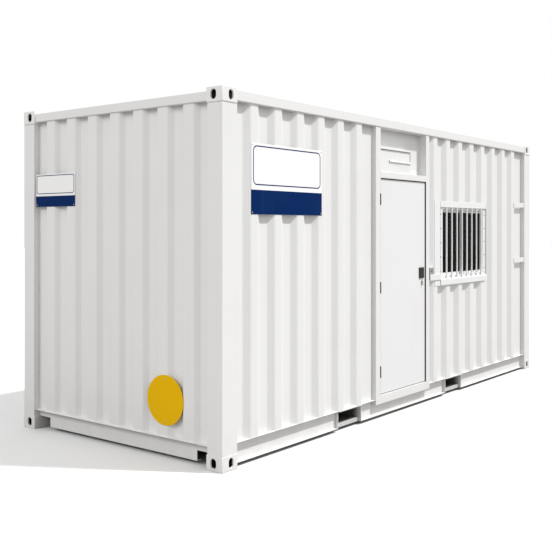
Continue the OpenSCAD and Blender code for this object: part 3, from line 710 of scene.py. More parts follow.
# The glass is almost black and lets through almost no light: painted shade that stands in for the
# dim room behind it, under a film of dust.
PANE_GLASS = Filmed(
    "pane_glass", (0.002, 0.0022, 0.002), (0.006, 0.006, 0.0055), roughness=0.04, dulling=0.12,
    relief=0.00002, clearness=0.02, gloss=0.02, scale=6.0, detail=5.0, film_from=0.5, film_to=0.9,
)
SIGN_YELLOW = Enamel(
    "sign_yellow_face", (0.765, 0.442, 0.001), roughness=0.4, clouds=0.01, streaks=0.01,
    splash=0.02, waves=0.0003, gloss=0.05,
)
SIGN_WHITE = (0.86, 0.86, 0.86)
SIGN_FRONT = SignFace(
    "front_sign_face", SIGN_WHITE, node="sign_front", across="X", band=0.193,
    line_span=(0.234, 0.536), inset=0.026, radius=0.04, line=0.010,
)
SIGN_END = SignFace(
    "end_sign_face", SIGN_WHITE, node="sign_end", across="Y", band=0.096,
    line_span=(0.119, 0.280), inset=0.013, radius=0.022, line=0.007,
)


# ---------------------------------------------------------------------- pieces


def finish_piece(mesh: Mesh, name: str, finish: Finish, body=Body.CABIN) -> Piece:
    """Links a finished mesh as a piece of the cabin.

    Args:
        mesh: The mesh, with its place in its vertices.
        name: The piece's name.
        finish: What its surface is.
        body: The body that it rides on.

    Returns:
        The piece.
    """
    mesh.name = name
    mesh.materials.clear()
    mesh.materials.append(finish.material())
    piece = bpy.data.objects.new(name, mesh)
    bpy.context.scene.collection.objects.link(piece)
    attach(piece, body.value)
    LOG.info("%s: %d faces, rides on %s", name, len(mesh.polygons), body.value)
    return piece


def smooth_shell(mesh: Mesh, sharp_degrees: float = SHARP_TURN) -> None:
    """Shades a mesh smooth, with hard creases past an angle."""
    mesh.polygons.foreach_set("use_smooth", [True] * len(mesh.polygons))
    mesh.set_sharp_from_angle(angle=math.radians(sharp_degrees))


def dress_nodes(finish: Finish, slot: Slot, *nodes: str) -> None:
    """Gives nodes of the frame their finish.

    Args:
        finish: What their surface is.
        slot: The record's slot, named here for the log.
        *nodes: The nodes' names.
    """
    for node in nodes:
        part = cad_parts[node]
        if not part.material_slots:
            part.data.materials.append(finish.material())
        for place in part.material_slots:
            place.material = finish.material()
        LOG.info("%s: dressed with %s for slot %s", node, finish.name, slot.value)


def bevel(shell: bmesh.types.BMesh, edges: list, radius: float, segments: int) -> None:
    """Rounds edges of a bmesh to a radius."""
    bmesh.ops.bevel(
        shell, geom=edges, offset=radius, offset_type="OFFSET", segments=segments, profile=0.5,
        affect="EDGES", clamp_overlap=True,
    )


def merged_copy(node: str) -> bmesh.types.BMesh:
    """Copies a node's mesh and joins its loose triangles into flat faces.

    Args:
        node: The node's name.

    Returns:
        A new bmesh, which the caller frees.
    """
    shell = bmesh.new()
    shell.from_mesh(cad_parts[node].data)
    bmesh.ops.remove_doubles(shell, verts=shell.verts, dist=MERGE)
    bmesh.ops.dissolve_limit(
        shell, angle_limit=FLAT_TURN, verts=shell.verts, edges=shell.edges,
        use_dissolve_boundaries=False,
    )
    return shell


@dataclass
class RoundedNode:
    """A node of the frame with its folds or edges rounded to their real radius."""

    node: str
    finish: Finish
    slot: Slot
    radius: float
    body: Body = Body.CABIN
    segments: int = 3
    least_turn: float = 60.0
    most_turn: float = 120.0
    shortest: float = 0.05
    convex_only: bool = True
    # Depth past which faces inside the box are marked for painted shade; 0 marks none.
    hollow_depth: float = 0.0
    hollow_size: Point = (0.178, 0.162, 0.118)

    def chosen(self, edge: bmesh.types.BMEdge) -> bool:
        """True if the edge is one that the real piece has rounded."""
        if len(edge.link_faces) != 2 or edge.calc_length() < self.shortest:
            return False
        turn = edge.calc_face_angle_signed(0.0)
        if self.convex_only and turn <= 0.0:
            return False
        return self.least_turn <= math.degrees(abs(turn)) <= self.most_turn

    def mark_hollow(self, mesh: Mesh) -> None:
        """Marks the faces deep inside a hollow piece, where shade is painted, with a value of 1.
        """
        if self.hollow_depth <= 0.0:
            return
        low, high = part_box(self.node)
        marks = []
        for polygon in mesh.polygons:
            depth = []
            for place, least, most, size in zip(polygon.center, low, high, self.hollow_size):
                side = min(place - least, most - place)
                depth.append(min(side, size - side))
            marks.append(float(min(depth) > self.hollow_depth))
        mesh.attributes.new(HOLLOW, "FLOAT", "FACE").data.foreach_set("value", marks)

    def build(self) -> None:
        """Rounds a copy of the node and lets it stand for the node, its wide faces kept flat."""
        shell = merged_copy(self.node)
        edges = [edge for edge in shell.edges if self.chosen(edge)]
        bevel(shell, edges, self.radius, self.segments)
        bmesh.ops.remove_doubles(shell, verts=shell.verts, dist=SLIVER)
        name = self.node + "_shell"
        mesh = bpy.data.meshes.new(name)
        shell.to_mesh(mesh)
        shell.free()
        smooth_shell(mesh)
        self.mark_hollow(mesh)
        piece = finish_piece(mesh, name, self.finish, self.body)
        piece.modifiers.new("flat_faces", "WEIGHTED_NORMAL").keep_sharp = True
        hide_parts(self.node)


def round_nodes(finish: Finish, slot: Slot, radius: float, *nodes: str, **options) -> None:
    """Rounds nodes of the frame in the same way.

    Args:
        finish: What their surface is.
        slot: The record's slot; not used.
        radius: The radius of their edges or folds.
        *nodes: The nodes' names.
        **options: Other fields of RoundedNode.
    """
    for node in nodes:
        RoundedNode(node, finish, slot, radius, **options).build()


def block_piece(
    name: str, blocks: list[Block], finish: Finish, body=Body.CABIN, rounding=0.0
) -> None:
    """Makes a piece from closed blocks.

    Args:
        name: The piece's name.
        blocks: The low and the high corner of each block.
        finish: What its surface is.
        body: The body that it rides on.
        rounding: Radius of its edges, or 0 for sharp ones.
    """
    shell = bmesh.new()
    for low, high in blocks:
        low_corner, high_corner = Vector(low), Vector(high)
        made = bmesh.ops.create_cube(shell, size=1.0)["verts"]
        bmesh.ops.scale(shell, vec=high_corner - low_corner, verts=made)
        bmesh.ops.translate(shell, vec=(low_corner + high_corner) / 2, verts=made)
    if rounding > 0.0:
        sharp = [edge for edge in shell.edges if edge.calc_face_angle(0.0) > BLOCK_TURN]
        bevel(shell, sharp, rounding, 2)
    bmesh.ops.recalc_face_normals(shell, faces=shell.faces)
    mesh = bpy.data.meshes.new(name)
    shell.to_mesh(mesh)
    shell.free()
    smooth_shell(mesh)
    finish_piece(mesh, name, finish, body)


def wall_block(x: float, z: float, half: tuple[float, float], near: float, far: float) -> Block:
    """Returns the corners of a block that stands in a wall's face.

    Args:
        x: Its middle along the wall.
        z: Its middle height.
        half: Half its width and half its height.
        near: Where it starts, in Y.
        far: Where it ends, in Y.

    Returns:
        Its low and its high corner.
    """
    return (x - half[0], near, z - half[1]), (x + half[0], far, z + half[1])


def rectangle(left: float, right: float, low: float, high: float) -> list[tuple[float, float]]:
    """Returns a rectangle's corners in order round it."""
    return [(left, low), (right, low), (right, high), (left, high)]


# ---------------------------------------------------------------------- geometry node trees


class GeometryTree:
    """A Geometry Nodes tree with named inputs, used to make pieces."""

    def __init__(self, name: str, inputs: dict[str, float | int]) -> None:
        """Makes the tree's sockets.

        Args:
            name: The tree's name.
            inputs: Input name to its default.
        """
        self.tree = bpy.data.node_groups.new(name, "GeometryNodeTree")
        self.bench = Bench(self.tree)
        shape = {"name": "Geometry", "socket_type": "NodeSocketGeometry"}
        self.tree.interface.new_socket(in_out="INPUT", **shape)
        self.keys = add_sockets(self.tree, "INPUT", inputs)
        material = self.tree.interface.new_socket(
            name="Material", in_out="INPUT", socket_type="NodeSocketMaterial"
        )
        self.keys["Material"] = material.identifier
        self.tree.interface.new_socket(in_out="OUTPUT", **shape)
        self.given = self.tree.nodes.new("NodeGroupInput").outputs

    def end(self, geometry: Socket) -> None:
        """Ends the tree: instances become real and take the Material input."""
        real = self.bench.out("GeometryNodeRealizeInstances", {0: geometry})
        sockets = {"Geometry": real, "Material": self.given["Material"]}
        dressed = self.bench.out("GeometryNodeSetMaterial", sockets)
        self.bench.node("NodeGroupOutput", {0: dressed})

    def piece(
        self, name: str, seed: Mesh, finish: Finish, slot: Slot, settings: dict[str, object],
        sharp_degrees: float = SHARP_TURN,
    ) -> None:
        """Runs the tree on a seed mesh and makes a piece of the result.

        Args:
            name: The piece's name.
            seed: Points or edges that the tree works on.
            finish: What the piece's surface is.
            slot: The record's slot; not used.
            settings: Input name to value.
            sharp_degrees: The angle past which creases stay hard.
        """
        carrier = bpy.data.objects.new(name + "_seed", seed)
        bpy.context.scene.collection.objects.link(carrier)
        work = carrier.modifiers.new("make", "NODES")
        work.node_group = self.tree
        work[self.keys["Material"]] = finish.material()
        for label, value in settings.items():
            work[self.keys[label]] = value
        carrier.update_tag()
        ready = carrier.evaluated_get(bpy.context.evaluated_depsgraph_get())
        mesh = bpy.data.meshes.new_from_object(ready)
        carrier.modifiers.remove(work)
        bpy.data.objects.remove(carrier)
        smooth_shell(mesh, sharp_degrees)
        finish_piece(mesh, name, finish)


class BeadTree(GeometryTree):
    """Sweeps round beads along edges: welds, sealant and gaskets."""

    def __init__(self) -> None:
        """Builds the tree."""
        inputs = {"Radius": 0.003, "Wobble": 0.3, "Step": 0.02, "Sides": 6, "Seed": 7}
        super().__init__("bead", inputs)
        bench, given = self.bench, self.given
        line = bench.out("GeometryNodeMeshToCurve", {0: given["Geometry"]})
        sockets = {"Curve": line, "Length": given["Step"]}
        fine = bench.out("GeometryNodeResampleCurve", sockets, mode="LENGTH")
        low = bench.sub(1.0, given["Wobble"])
        high = bench.add(1.0, given["Wobble"])
        sockets = {2: low, 3: high, 8: given["Seed"]}
        swing = bench.node("FunctionNodeRandomValue", sockets, data_type="FLOAT").outputs[1]
        sized = bench.out("GeometryNodeSetCurveRadius", {"Curve": fine, "Radius": swing})
        sockets = {"Resolution": given["Sides"], "Radius": given["Radius"]}
        ring = bench.out("GeometryNodeCurvePrimitiveCircle", sockets)
        self.end(bench.out("GeometryNodeCurveToMesh", {
            "Curve": sized, "Profile Curve": ring, "Fill Caps": True,
            "Scale": bench.out("GeometryNodeInputRadius"),
        }))

    def sweep(
        self, name: str, lines: list[list[Point]], finish: Finish, slot: Slot, radius=0.0025,
        wobble=0.25, step=0.02, closed=False, sides=6,
    ) -> None:
        """Makes a piece of one bead for each line.

        Args:
            name: The piece's name.
            lines: The points of each line.
            finish: What the beads' surface is.
            slot: The record's slot; not used.
            radius: The beads' radius.
            wobble: How much their radius varies, as a share of it.
            step: The length between two rings.
            closed: True if each line ends where it starts.
            sides: The number of sides of each ring.
        """
        points: list[Point] = []
        edges: list[tuple[int, int]] = []
        for line in lines:
            first = len(points)
            points += line
            edges += [(first + i, first + i + 1) for i in range(len(line) - 1)]
            if closed:
                edges.append((first + len(line) - 1, first))
        seed = bpy.data.meshes.new(name + "_lines")
        seed.from_pydata(points, edges, [])
        settings = {"Radius": radius, "Wobble": wobble, "Step": step, "Sides": sides}
        self.piece(name, seed, finish, slot, settings, BEAD_SHARP_TURN)


def screw_tree() -> GeometryTree:
    """Sets a domed screw head with a cross slot on each point, facing as its attribute says.

    Returns:
        The tree.
    """
    made = GeometryTree(
        "screw_heads", {"Head Radius": 0.006, "Head Height": 0.003, "Slot": 0.0012, "Seed": 11}
    )
    bench, given = made.bench, made.given
    radius, height = given["Head Radius"], given["Head Height"]
    ball = bench.out("GeometryNodeMeshUVSphere", {"Segments": 12, "Rings": 6, "Radius": 1.0})
    sockets = {"Geometry": ball, "Scale": bench.vector(radius, radius, height)}
    head = bench.out("GeometryNodeTransform", sockets)
    reach = bench.mul(radius, 1.1)
    # The second bar is a little shallower, so that the floors of the two slots never coincide.
    for sides, share in (((reach, given["Slot"]), 1.0), ((given["Slot"], reach), 0.9)):
        size = bench.vector(*sides, bench.mul(height, share))
        bar = bench.out("GeometryNodeMeshCube", {"Size": size})
        sockets = {"Geometry": bar, "Translation": bench.vector(z=height)}
        slot = bench.out("GeometryNodeTransform", sockets)
        sockets = {0: head, 1: slot}
        head = bench.out("GeometryNodeMeshBoolean", sockets, operation="DIFFERENCE")
    facing = bench.out(
        "GeometryNodeInputNamedAttribute", {"Name": FACING}, data_type="FLOAT_VECTOR"
    )
    turn = bench.out("FunctionNodeAlignRotationToVector", {"Vector": facing}, axis="Z")
    sockets = {2: 0.0, 3: math.pi, 8: given["Seed"]}
    angle = bench.node("FunctionNodeRandomValue", sockets, data_type="FLOAT").outputs[1]
    spin = bench.out("FunctionNodeEulerToRotation", {0: bench.vector(z=angle)})
    spun = bench.out("FunctionNodeRotateRotation", {0: turn, 1: spin}, rotation_space="LOCAL")
    made.end(bench.out("GeometryNodeInstanceOnPoints", {
        "Points": given["Geometry"], "Instance": head, "Rotation": spun,
    }))
    return made


def grille_tree() -> GeometryTree:
    """A row of upright bars with a small weld collar at each end, along X from the seed point.

    Returns:
        The tree.
    """
    made = GeometryTree("bar_grille", {
        "Count": 8, "Pitch": 0.12, "Bar Radius": 0.009, "Bar Height": 0.7, "Collar": 0.004,
        "Sides": 20,
    })
    bench, given = made.bench, made.given
    radius, height, collar = given["Bar Radius"], given["Bar Height"], given["Collar"]
    sockets = {"Count": given["Count"], "Offset": bench.vector(given["Pitch"])}
    row = bench.out("GeometryNodeMeshLine", sockets)
    sockets = {"Vertices": given["Sides"], "Radius": radius, "Depth": height}
    parts = [bench.out("GeometryNodeMeshCylinder", sockets)]
    wide = bench.add(radius, collar)
    for side, turn in ((0.5, math.pi), (-0.5, 0.0)):
        cone = bench.out("GeometryNodeMeshCone", {
            "Vertices": given["Sides"], "Radius Top": radius, "Radius Bottom": wide,
            "Depth": collar,
        })
        parts.append(bench.out("GeometryNodeTransform", {
            "Geometry": cone, "Rotation": (turn, 0.0, 0.0),
            "Translation": bench.vector(z=bench.mul(height, side)),
        }))
    joined = bench.node("GeometryNodeJoinGeometry")
    for part in parts:
        bench.put(joined.inputs[0], part)
    sockets = {"Points": row, "Instance": joined.outputs[0]}
    bars = bench.out("GeometryNodeInstanceOnPoints", sockets)
    first = bench.node("GeometryNodeSampleIndex", data_type="FLOAT_VECTOR")
    start = bench.out("GeometryNodeInputPosition")
    bench.fill(first, {0: given["Geometry"], "Value": start, "Index": 0})
    sockets = {"Geometry": bars, "Translation": first.outputs[0]}
    made.end(bench.out("GeometryNodeTransform", sockets))
    return made


def seed_points(name: str, points: list[Point], facings: list[Point]) -> Mesh:
    """Makes a mesh of loose points, each with the direction that it faces."""
    mesh = bpy.data.meshes.new(name)
    mesh.from_pydata(points, [], [])
    attribute = mesh.attributes.new(FACING, "FLOAT_VECTOR", "POINT")
    attribute.data.foreach_set("vector", [part for facing in facings for part in facing])
    return mesh


# ---------------------------------------------------------------------- the steel box


@dataclass(frozen=True)
class Sheet:
    """A ribbed sheet: the axis it runs along, the side it faces and where it is welded."""

    node: str
    along: str = "x"
    side: float = -1.0
    welded_ends: tuple[int, ...] = ()
    welded_foot: bool = True

    def outer_line(self) -> list[Point]:
        """Reads the sheet's outer fold line from its lower rim.

        Returns:
            The points of the rim's outer side, in order along the sheet.
        """
        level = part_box(self.node)[0].z
        across = "y" if self.along == "x" else "x"
        rim: dict[float, Vector] = {}
        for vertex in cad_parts[self.node].data.vertices:
            if abs(vertex.co.z - level) > RIM_REACH:
                continue
            key = round(getattr(vertex.co, self.along), 4)
            known = rim.get(key)
            reach = self.side * getattr(vertex.co, across)
            if known is None or reach > self.side * getattr(known, across):
                rim[key] = vertex.co.copy()
        return [tuple(rim[key]) for key in sorted(rim)]


@dataclass
class SteelBox:
    """The welded box: castings, posts, rails, ribbed sheets, underframe and roof."""

    beads: BeadTree
    fold_radius: float = 0.010
    roof_fold_radius: float = 0.008
    post_radius: float = 0.009
    rail_radius: float = 0.007
    flange_radius: float = 0.0015
    casting_radius: float = 0.003
    casting_wall: float = 0.0125
    weld_inset: float = 0.002
    post_foot: tuple[float, float] = (0.175, 0.150)
    walls: tuple[Sheet, ...] = (
        Sheet("front_wall_left", welded_ends=(0, -1)),
        Sheet("front_wall_beside_window", welded_ends=(0,)),
        Sheet("front_wall_under_window"),
        Sheet("front_wall_over_window", welded_foot=False),
        Sheet("front_wall_right", welded_ends=(-1,)),
        Sheet("back_wall", side=1.0, welded_ends=(0, -1)),
        Sheet("end_wall_left", along="y", welded_ends=(0, -1)),
        Sheet("end_wall_right", along="y", side=1.0, welded_ends=(0, -1)),
    )

    def fold_sheets(self) -> None:
        """Gives the ribbed sheets their bend radius."""
        folds = {
            "least_turn": 12.0, "most_turn": 70.0, "shortest": 0.3, "convex_only": False,
            "segments": 4,
        }
        walls = [sheet.node for sheet in self.walls]
        round_nodes(WALL_ENAMEL, Slot.WALL, self.fold_radius, *walls, **folds)
        round_nodes(ROOF_ENAMEL, Slot.ROOF, self.roof_fold_radius, "roof_panel", **folds)

    def round_frame(self) -> None:
        """Rounds the long outer edges of posts and rails and the rims of the castings."""
        for radius, shortest, segments, nodes in (
            (self.post_radius, 0.5, 5, ("corner_posts",)),
            (self.rail_radius, 0.5, 4, (
                "top_side_rail_front", "top_side_rail_back", "top_end_rails",
            )),
            (self.flange_radius, 0.3, 2, (
                "bottom_side_rail_front", "bottom_side_rail_back", "bottom_end_rails",
            )),
        ):
            options = {"shortest": shortest, "segments": segments}
            round_nodes(FRAME_ENAMEL, Slot.FRAME, radius, *nodes, **options)
        # The castings' faces deep inside their holes are marked for painted shade.
        round_nodes(
            CASTING_ENAMEL, Slot.CASTING, self.casting_radius, "corner_castings_bottom",
            "corner_castings_top", shortest=0.0, segments=2, least_turn=70.0,
            hollow_depth=self.casting_wall,
        )

    def dress_underframe(self) -> None:
        """Gives the fork pockets, cross members and deck their finish."""
        pockets = ("fork_pocket_sides", "fork_pocket_tops", "fork_pocket_straps")
        # The fork pockets' paint carries painted shade inside them.
        dress_nodes(POCKET_ENAMEL, Slot.FRAME, *pockets)
        dress_nodes(UNDERBODY_COAT, Slot.UNDERBODY, "cross_members")
        dress_nodes(DECK_PLY, Slot.FLOOR, "floor_deck")

    def weld(self) -> None:
        """Runs weld beads along the feet of the sheets, beside the posts and round the posts."""
        feet = [sheet.outer_line() for sheet in self.walls if sheet.welded_foot]
        self.beads.sweep("wall_foot_welds", feet, WALL_ENAMEL, Slot.WALL)
        sides = []
        for sheet in self.walls:
            low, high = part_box(sheet.node)
            rim = sheet.outer_line()
            for x, y, _ in (rim[end] for end in sheet.welded_ends):
                sides.append([(x, y, low.z), (x, y, high.z)])
        self.beads.sweep("wall_side_welds", sides, WALL_ENAMEL, Slot.WALL, step=0.03)
        low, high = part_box("corner_posts")
        levels = (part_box("corner_castings_bottom")[1].z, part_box("corner_castings_top")[0].z)
        length, width = self.post_foot
        inset = self.weld_inset
        rings = []
        for level in levels:
            for left, right in ((low.x, low.x + length), (high.x - length, high.x)):
                for near, far in ((low.y, low.y + width), (high.y - width, high.y)):
                    ring = rectangle(left + inset, right - inset, near + inset, far - inset)
                    rings.append([(x, y, level) for x, y in ring])
        self.beads.sweep("post_welds", rings, FRAME_ENAMEL, Slot.FRAME, closed=True, step=0.012)

    def build(self) -> None:
        """Builds every part of the steel box."""
        self.fold_sheets()
        self.round_frame()
        self.dress_underframe()
        self.weld()


# ---------------------------------------------------------------------- the doorway


@dataclass
class Doorway:
    """The door frame, its leaf with lock and hinges, and the vent cowl in the niche above."""

    frame_radius: float = 0.003
    hood_radius: float = 0.0015
    leaf_radius: float = 0.0025
    lock_radius: float = 0.0015
    cell_half: tuple[float, float] = (0.017, 0.012)
    cell_step: tuple[float, float] = (0.044, 0.033)
    cell_height: float = 0.0012
    latch_half: tuple[float, float] = (0.022, 0.09)
    latch_depth: float = 0.004
    latch_sink: float = 0.0005
    turn_half: tuple[float, float] = (0.005, 0.02)
    turn_depth: float = 0.018
    lip: float = 0.0025
    # How far the black lip reaches in front of the leaf, over the reveal, as painted shade.
    seal_and_shade_reach: float = 0.010
    hinge_levels: tuple[float, ...] = (0.446, 1.256, 2.106)
    hinge_gap: float = 0.062
    cowl_face: float = 0.010
    cowl_cap: float = 0.022
    # Sizes of the black blocks of painted shade in the cowl's openings.
    cap_gap: Point = (0.012, 0.002, 0.005)
    lip_gap: Point = (0.007, 0.003, 0.126)
    lip_gap_end: float = 0.004
    soffit_lap: float = 0.012
    soffit_levels: tuple[float, float] = (0.003, 0.0005)

    def frame_parts(self) -> None:
        """Rounds the frame and the cowl, and dresses the door stops and the niche."""
        parts = ("door_jambs", "door_head", "door_sill")
        round_nodes(FRAME_ENAMEL, Slot.FRAME, self.frame_radius, *parts, shortest=0.3)
        options = {"shortest": 0.3, "segments": 2}
        round_nodes(FRAME_ENAMEL, Slot.FRAME, self.hood_radius, "vent_hood", **options)
        dress_nodes(FRAME_ENAMEL, Slot.FRAME, "door_stops")
        dress_nodes(WALL_ENAMEL, Slot.WALL, "niche_panel")

    def leaf_parts(self) -> None:
        """Rounds the leaf and dresses the hinges and the lock."""
        options = {"body": Body.DOOR, "shortest": 0.03}
        round_nodes(DOOR_ENAMEL, Slot.DOOR, self.leaf_radius, "door_leaf", **options)
        options = {"body": Body.DOOR, "shortest": 0.005, "segments": 2}
        round_nodes(LOCK_STEEL, Slot.LOCK, self.lock_radius, "lock_plate", **options)
        dress_nodes(PLATED_STEEL, Slot.LEVER, "lock_lever")
        dress_nodes(HINGE_STEEL, Slot.HINGE, "hinge_pins", "hinge_barrels")

    def lock(self) -> None:
        """Raises two columns of three cells on the lock plate and sets a plain latch inside."""
        low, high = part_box("lock_plate")
        middle = (low + high) / 2
        cells = []
        for column in (-0.5, 0.5):
            for row in (-1.0, 0.0, 1.0):
                x = middle.x + column * self.cell_step[0]
                z = middle.z + row * self.cell_step[1]
                near, far = low.y - self.cell_height, low.y + SINK
                cells.append(wall_block(x, z, self.cell_half, near, far))
        block_piece("lock_cells", cells, LOCK_STEEL, Body.DOOR, rounding=0.0006)
        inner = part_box("door_leaf")[1].y
        plate_end = inner + self.latch_depth
        near, plate = inner - self.latch_sink, self.latch_half
        blocks = [wall_block(middle.x, middle.z, plate, near, plate_end)]
        block_piece(
            "inner_latch_plate", blocks, LOCK_STEEL, Body.DOOR, rounding=0.0015
        )
        near, far = plate_end - SINK, inner + self.turn_depth
        blocks = [wall_block(middle.x, middle.z, self.turn_half, near, far)]
        block_piece(
            "inner_thumb_turn", blocks, PLATED_STEEL, Body.DOOR, rounding=0.002
        )

    def seals(self) -> None:
        """Lines the leaf's gap with black rubber up to the hinges; its front part is painted
        shade.
        """
        low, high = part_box("door_stops")
        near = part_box("door_leaf")[0].y - self.seal_and_shade_reach
        slim = self.lip
        gaps = [z + side * self.hinge_gap for z in self.hinge_levels for side in (-1.0, 1.0)]
        levels = [low.z, *gaps, high.z]
        blocks = [
            ((low.x, near, foot), (low.x + slim, low.y, top))
            for foot, top in zip(levels[::2], levels[1::2])
        ]
        blocks.append(((high.x - slim, near, low.z), (high.x, low.y, high.z)))
        blocks.append(((low.x + slim, near, high.z - slim), (high.x - slim, low.y, high.z)))
        block_piece("door_seal_and_shade", blocks, BLACK_RUBBER_AND_SHADE)

    def cowl_gaps(self) -> None:
        """Black blocks of painted shade in the cowl's openings, under its cap and beside its lip.
        """
        low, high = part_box("vent_hood")
        face = low.y + self.cowl_face
        cap_foot = high.z - self.cowl_cap
        far, top = face + SINK, cap_foot - SINK
        margin, proud, tall = self.cap_gap
        under_cap = (low.x + margin, face - proud, cap_foot - tall), (high.x - margin, far, top)
        margin, proud, foot = self.lip_gap
        beside_lip = (
            (high.x - margin, face - proud, low.z + foot), (high.x - self.lip_gap_end, far, top)
        )
        block_piece("cowl_gaps", [under_cap, beside_lip], BLACK_RUBBER_AND_SHADE)

    def soffit(self) -> None:
        """Closes the slot between the top rail and the back of the niche."""
        panel_low, panel_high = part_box("niche_panel")
        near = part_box("top_side_rail_front")[1].y - self.soffit_lap
        low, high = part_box("door_head")
        foot, top = (panel_high.z - drop for drop in self.soffit_levels)
        block = (low.x, near, foot), (high.x, panel_low.y + SINK, top)
        block_piece("niche_soffit", [block], FRAME_ENAMEL)

    def build(self) -> None:
        """Builds every part of the doorway."""
        self.frame_parts()
        self.leaf_parts()
        self.lock()
        self.seals()
        self.cowl_gaps()
        self.soffit()


# ---------------------------------------------------------------------- the window


@dataclass
class Window:
    """The barred sliding window with its surround."""

    beads: BeadTree
    bar_count: int = 8
    bar_pitch: float = 0.1263
    bar_radius: float = 0.0095
    first_bar: Point = (0.666, -1.2045, 1.6635)
    bar_height: float = 0.781
    plate_radius: float = 0.0015
    sill_radius: float = 0.004
    frame_radius: float = 0.002
    gasket_radius: float = 0.0035
    # Sizes of the thin black strips of painted shadow beside the window.
    seam_width: float = 0.003
    seam_inside: float = 0.001
    seam_end: float = 0.002
    seam_proud: float = 0.0006
    catch_shift: float = 0.006
    catch_plate: tuple[float, float] = (0.007, 0.03)
    catch_grip: tuple[float, float] = (0.004, 0.012)
    catch_depths: tuple[float, float] = (0.004, 0.009)
    screw_inset: float = 0.036
    screw_count: int = 5

    def plates(self) -> None:
        """Rounds the surround, the fixed frame and the sashes."""
        finish = WINDOW_ENAMEL, Slot.WINDOW
        options = {"shortest": 0.3, "segments": 2}
        round_nodes(*finish, self.plate_radius, "window_jambs", "window_head", **options)
        round_nodes(*finish, self.sill_radius, "window_sill_box", shortest=0.3)
        round_nodes(*finish, self.frame_radius, "window_frame", "window_sashes", shortest=0.3)
        dress_nodes(PANE_GLASS, Slot.GLASS, "window_glass")

    def grille(self) -> None:
        """Stands the round bars between the sill and the head."""
        seed = seed_points("grille_seed", [self.first_bar], [TO_FRONT])
        grille_tree().piece("window_bars", seed, BAR_ENAMEL, Slot.WINDOW, {
            "Count": self.bar_count, "Pitch": self.bar_pitch, "Bar Radius": self.bar_radius,
            "Bar Height": self.bar_height,
        })

    def gaskets(self) -> None:
        """Runs a black gasket round each pane."""
        spans: dict[float, list[Vector]] = {}
        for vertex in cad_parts["window_glass"].data.vertices:
            spans.setdefault(round(vertex.co.y, 3), []).append(vertex.co.copy())
        loops = []
        for depth in sorted(spans)[::2]:
            across, up = zip(*((corner.x, corner.z) for corner in spans[depth]))
            ring = rectangle(min(across), max(across), min(up), max(up))
            loops.append([(x, depth, z) for x, z in ring])
        self.beads.sweep(
            "pane_gaskets", loops, BLACK_RUBBER_AND_SHADE, Slot.GLASS, self.gasket_radius, wobble=0.0,
            step=0.05, closed=True, sides=8,
        )

    def seam(self) -> None:
        """A thin black line of painted shadow where the flat plates meet the reveal, on both
        sides.
        """
        low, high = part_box("window_jambs")
        frame_low, frame_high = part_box("window_frame")
        starts = (
            frame_low.x - (self.seam_width - self.seam_inside), frame_high.x - self.seam_inside
        )
        near, far = low.y - self.seam_proud, low.y + SINK
        foot, top = low.z + self.seam_end, high.z - self.seam_end
        seams = [((x, near, foot), (x + self.seam_width, far, top)) for x in starts]
        block_piece("window_seam_shadows", seams, BLACK_RUBBER_AND_SHADE)

    def catch(self) -> None:
        """Sets a small black catch on the outer sash."""
        low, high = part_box("window_sashes")
        x = (low.x + high.x) / 2 - self.catch_shift
        z = (low.z + high.z) / 2
        plate, grip = self.catch_depths
        blocks = [
            wall_block(x, z, self.catch_plate, low.y - plate, low.y + SINK),
            wall_block(x, z, self.catch_grip, low.y - grip, low.y - (plate - SINK)),
        ]
        block_piece("sash_catch", blocks, LOCK_STEEL, rounding=0.0012)

    def screw_places(self) -> list[Point]:
        """Returns the places of the screws on the two upright strips of the fixed frame."""
        low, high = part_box("window_frame")
        run = high.z - low.z
        levels = [low.z + run * (i + 0.5) / self.screw_count for i in range(self.screw_count)]
        strips = (low.x + self.screw_inset, high.x - self.screw_inset)
        return [(x, low.y, z) for x in strips for z in levels]

    def build(self) -> None:
        """Builds every part of the window."""
        self.plates()
        self.grille()
        self.gaskets()
        self.seam()
        self.catch()


# ---------------------------------------------------------------------- fittings and inside


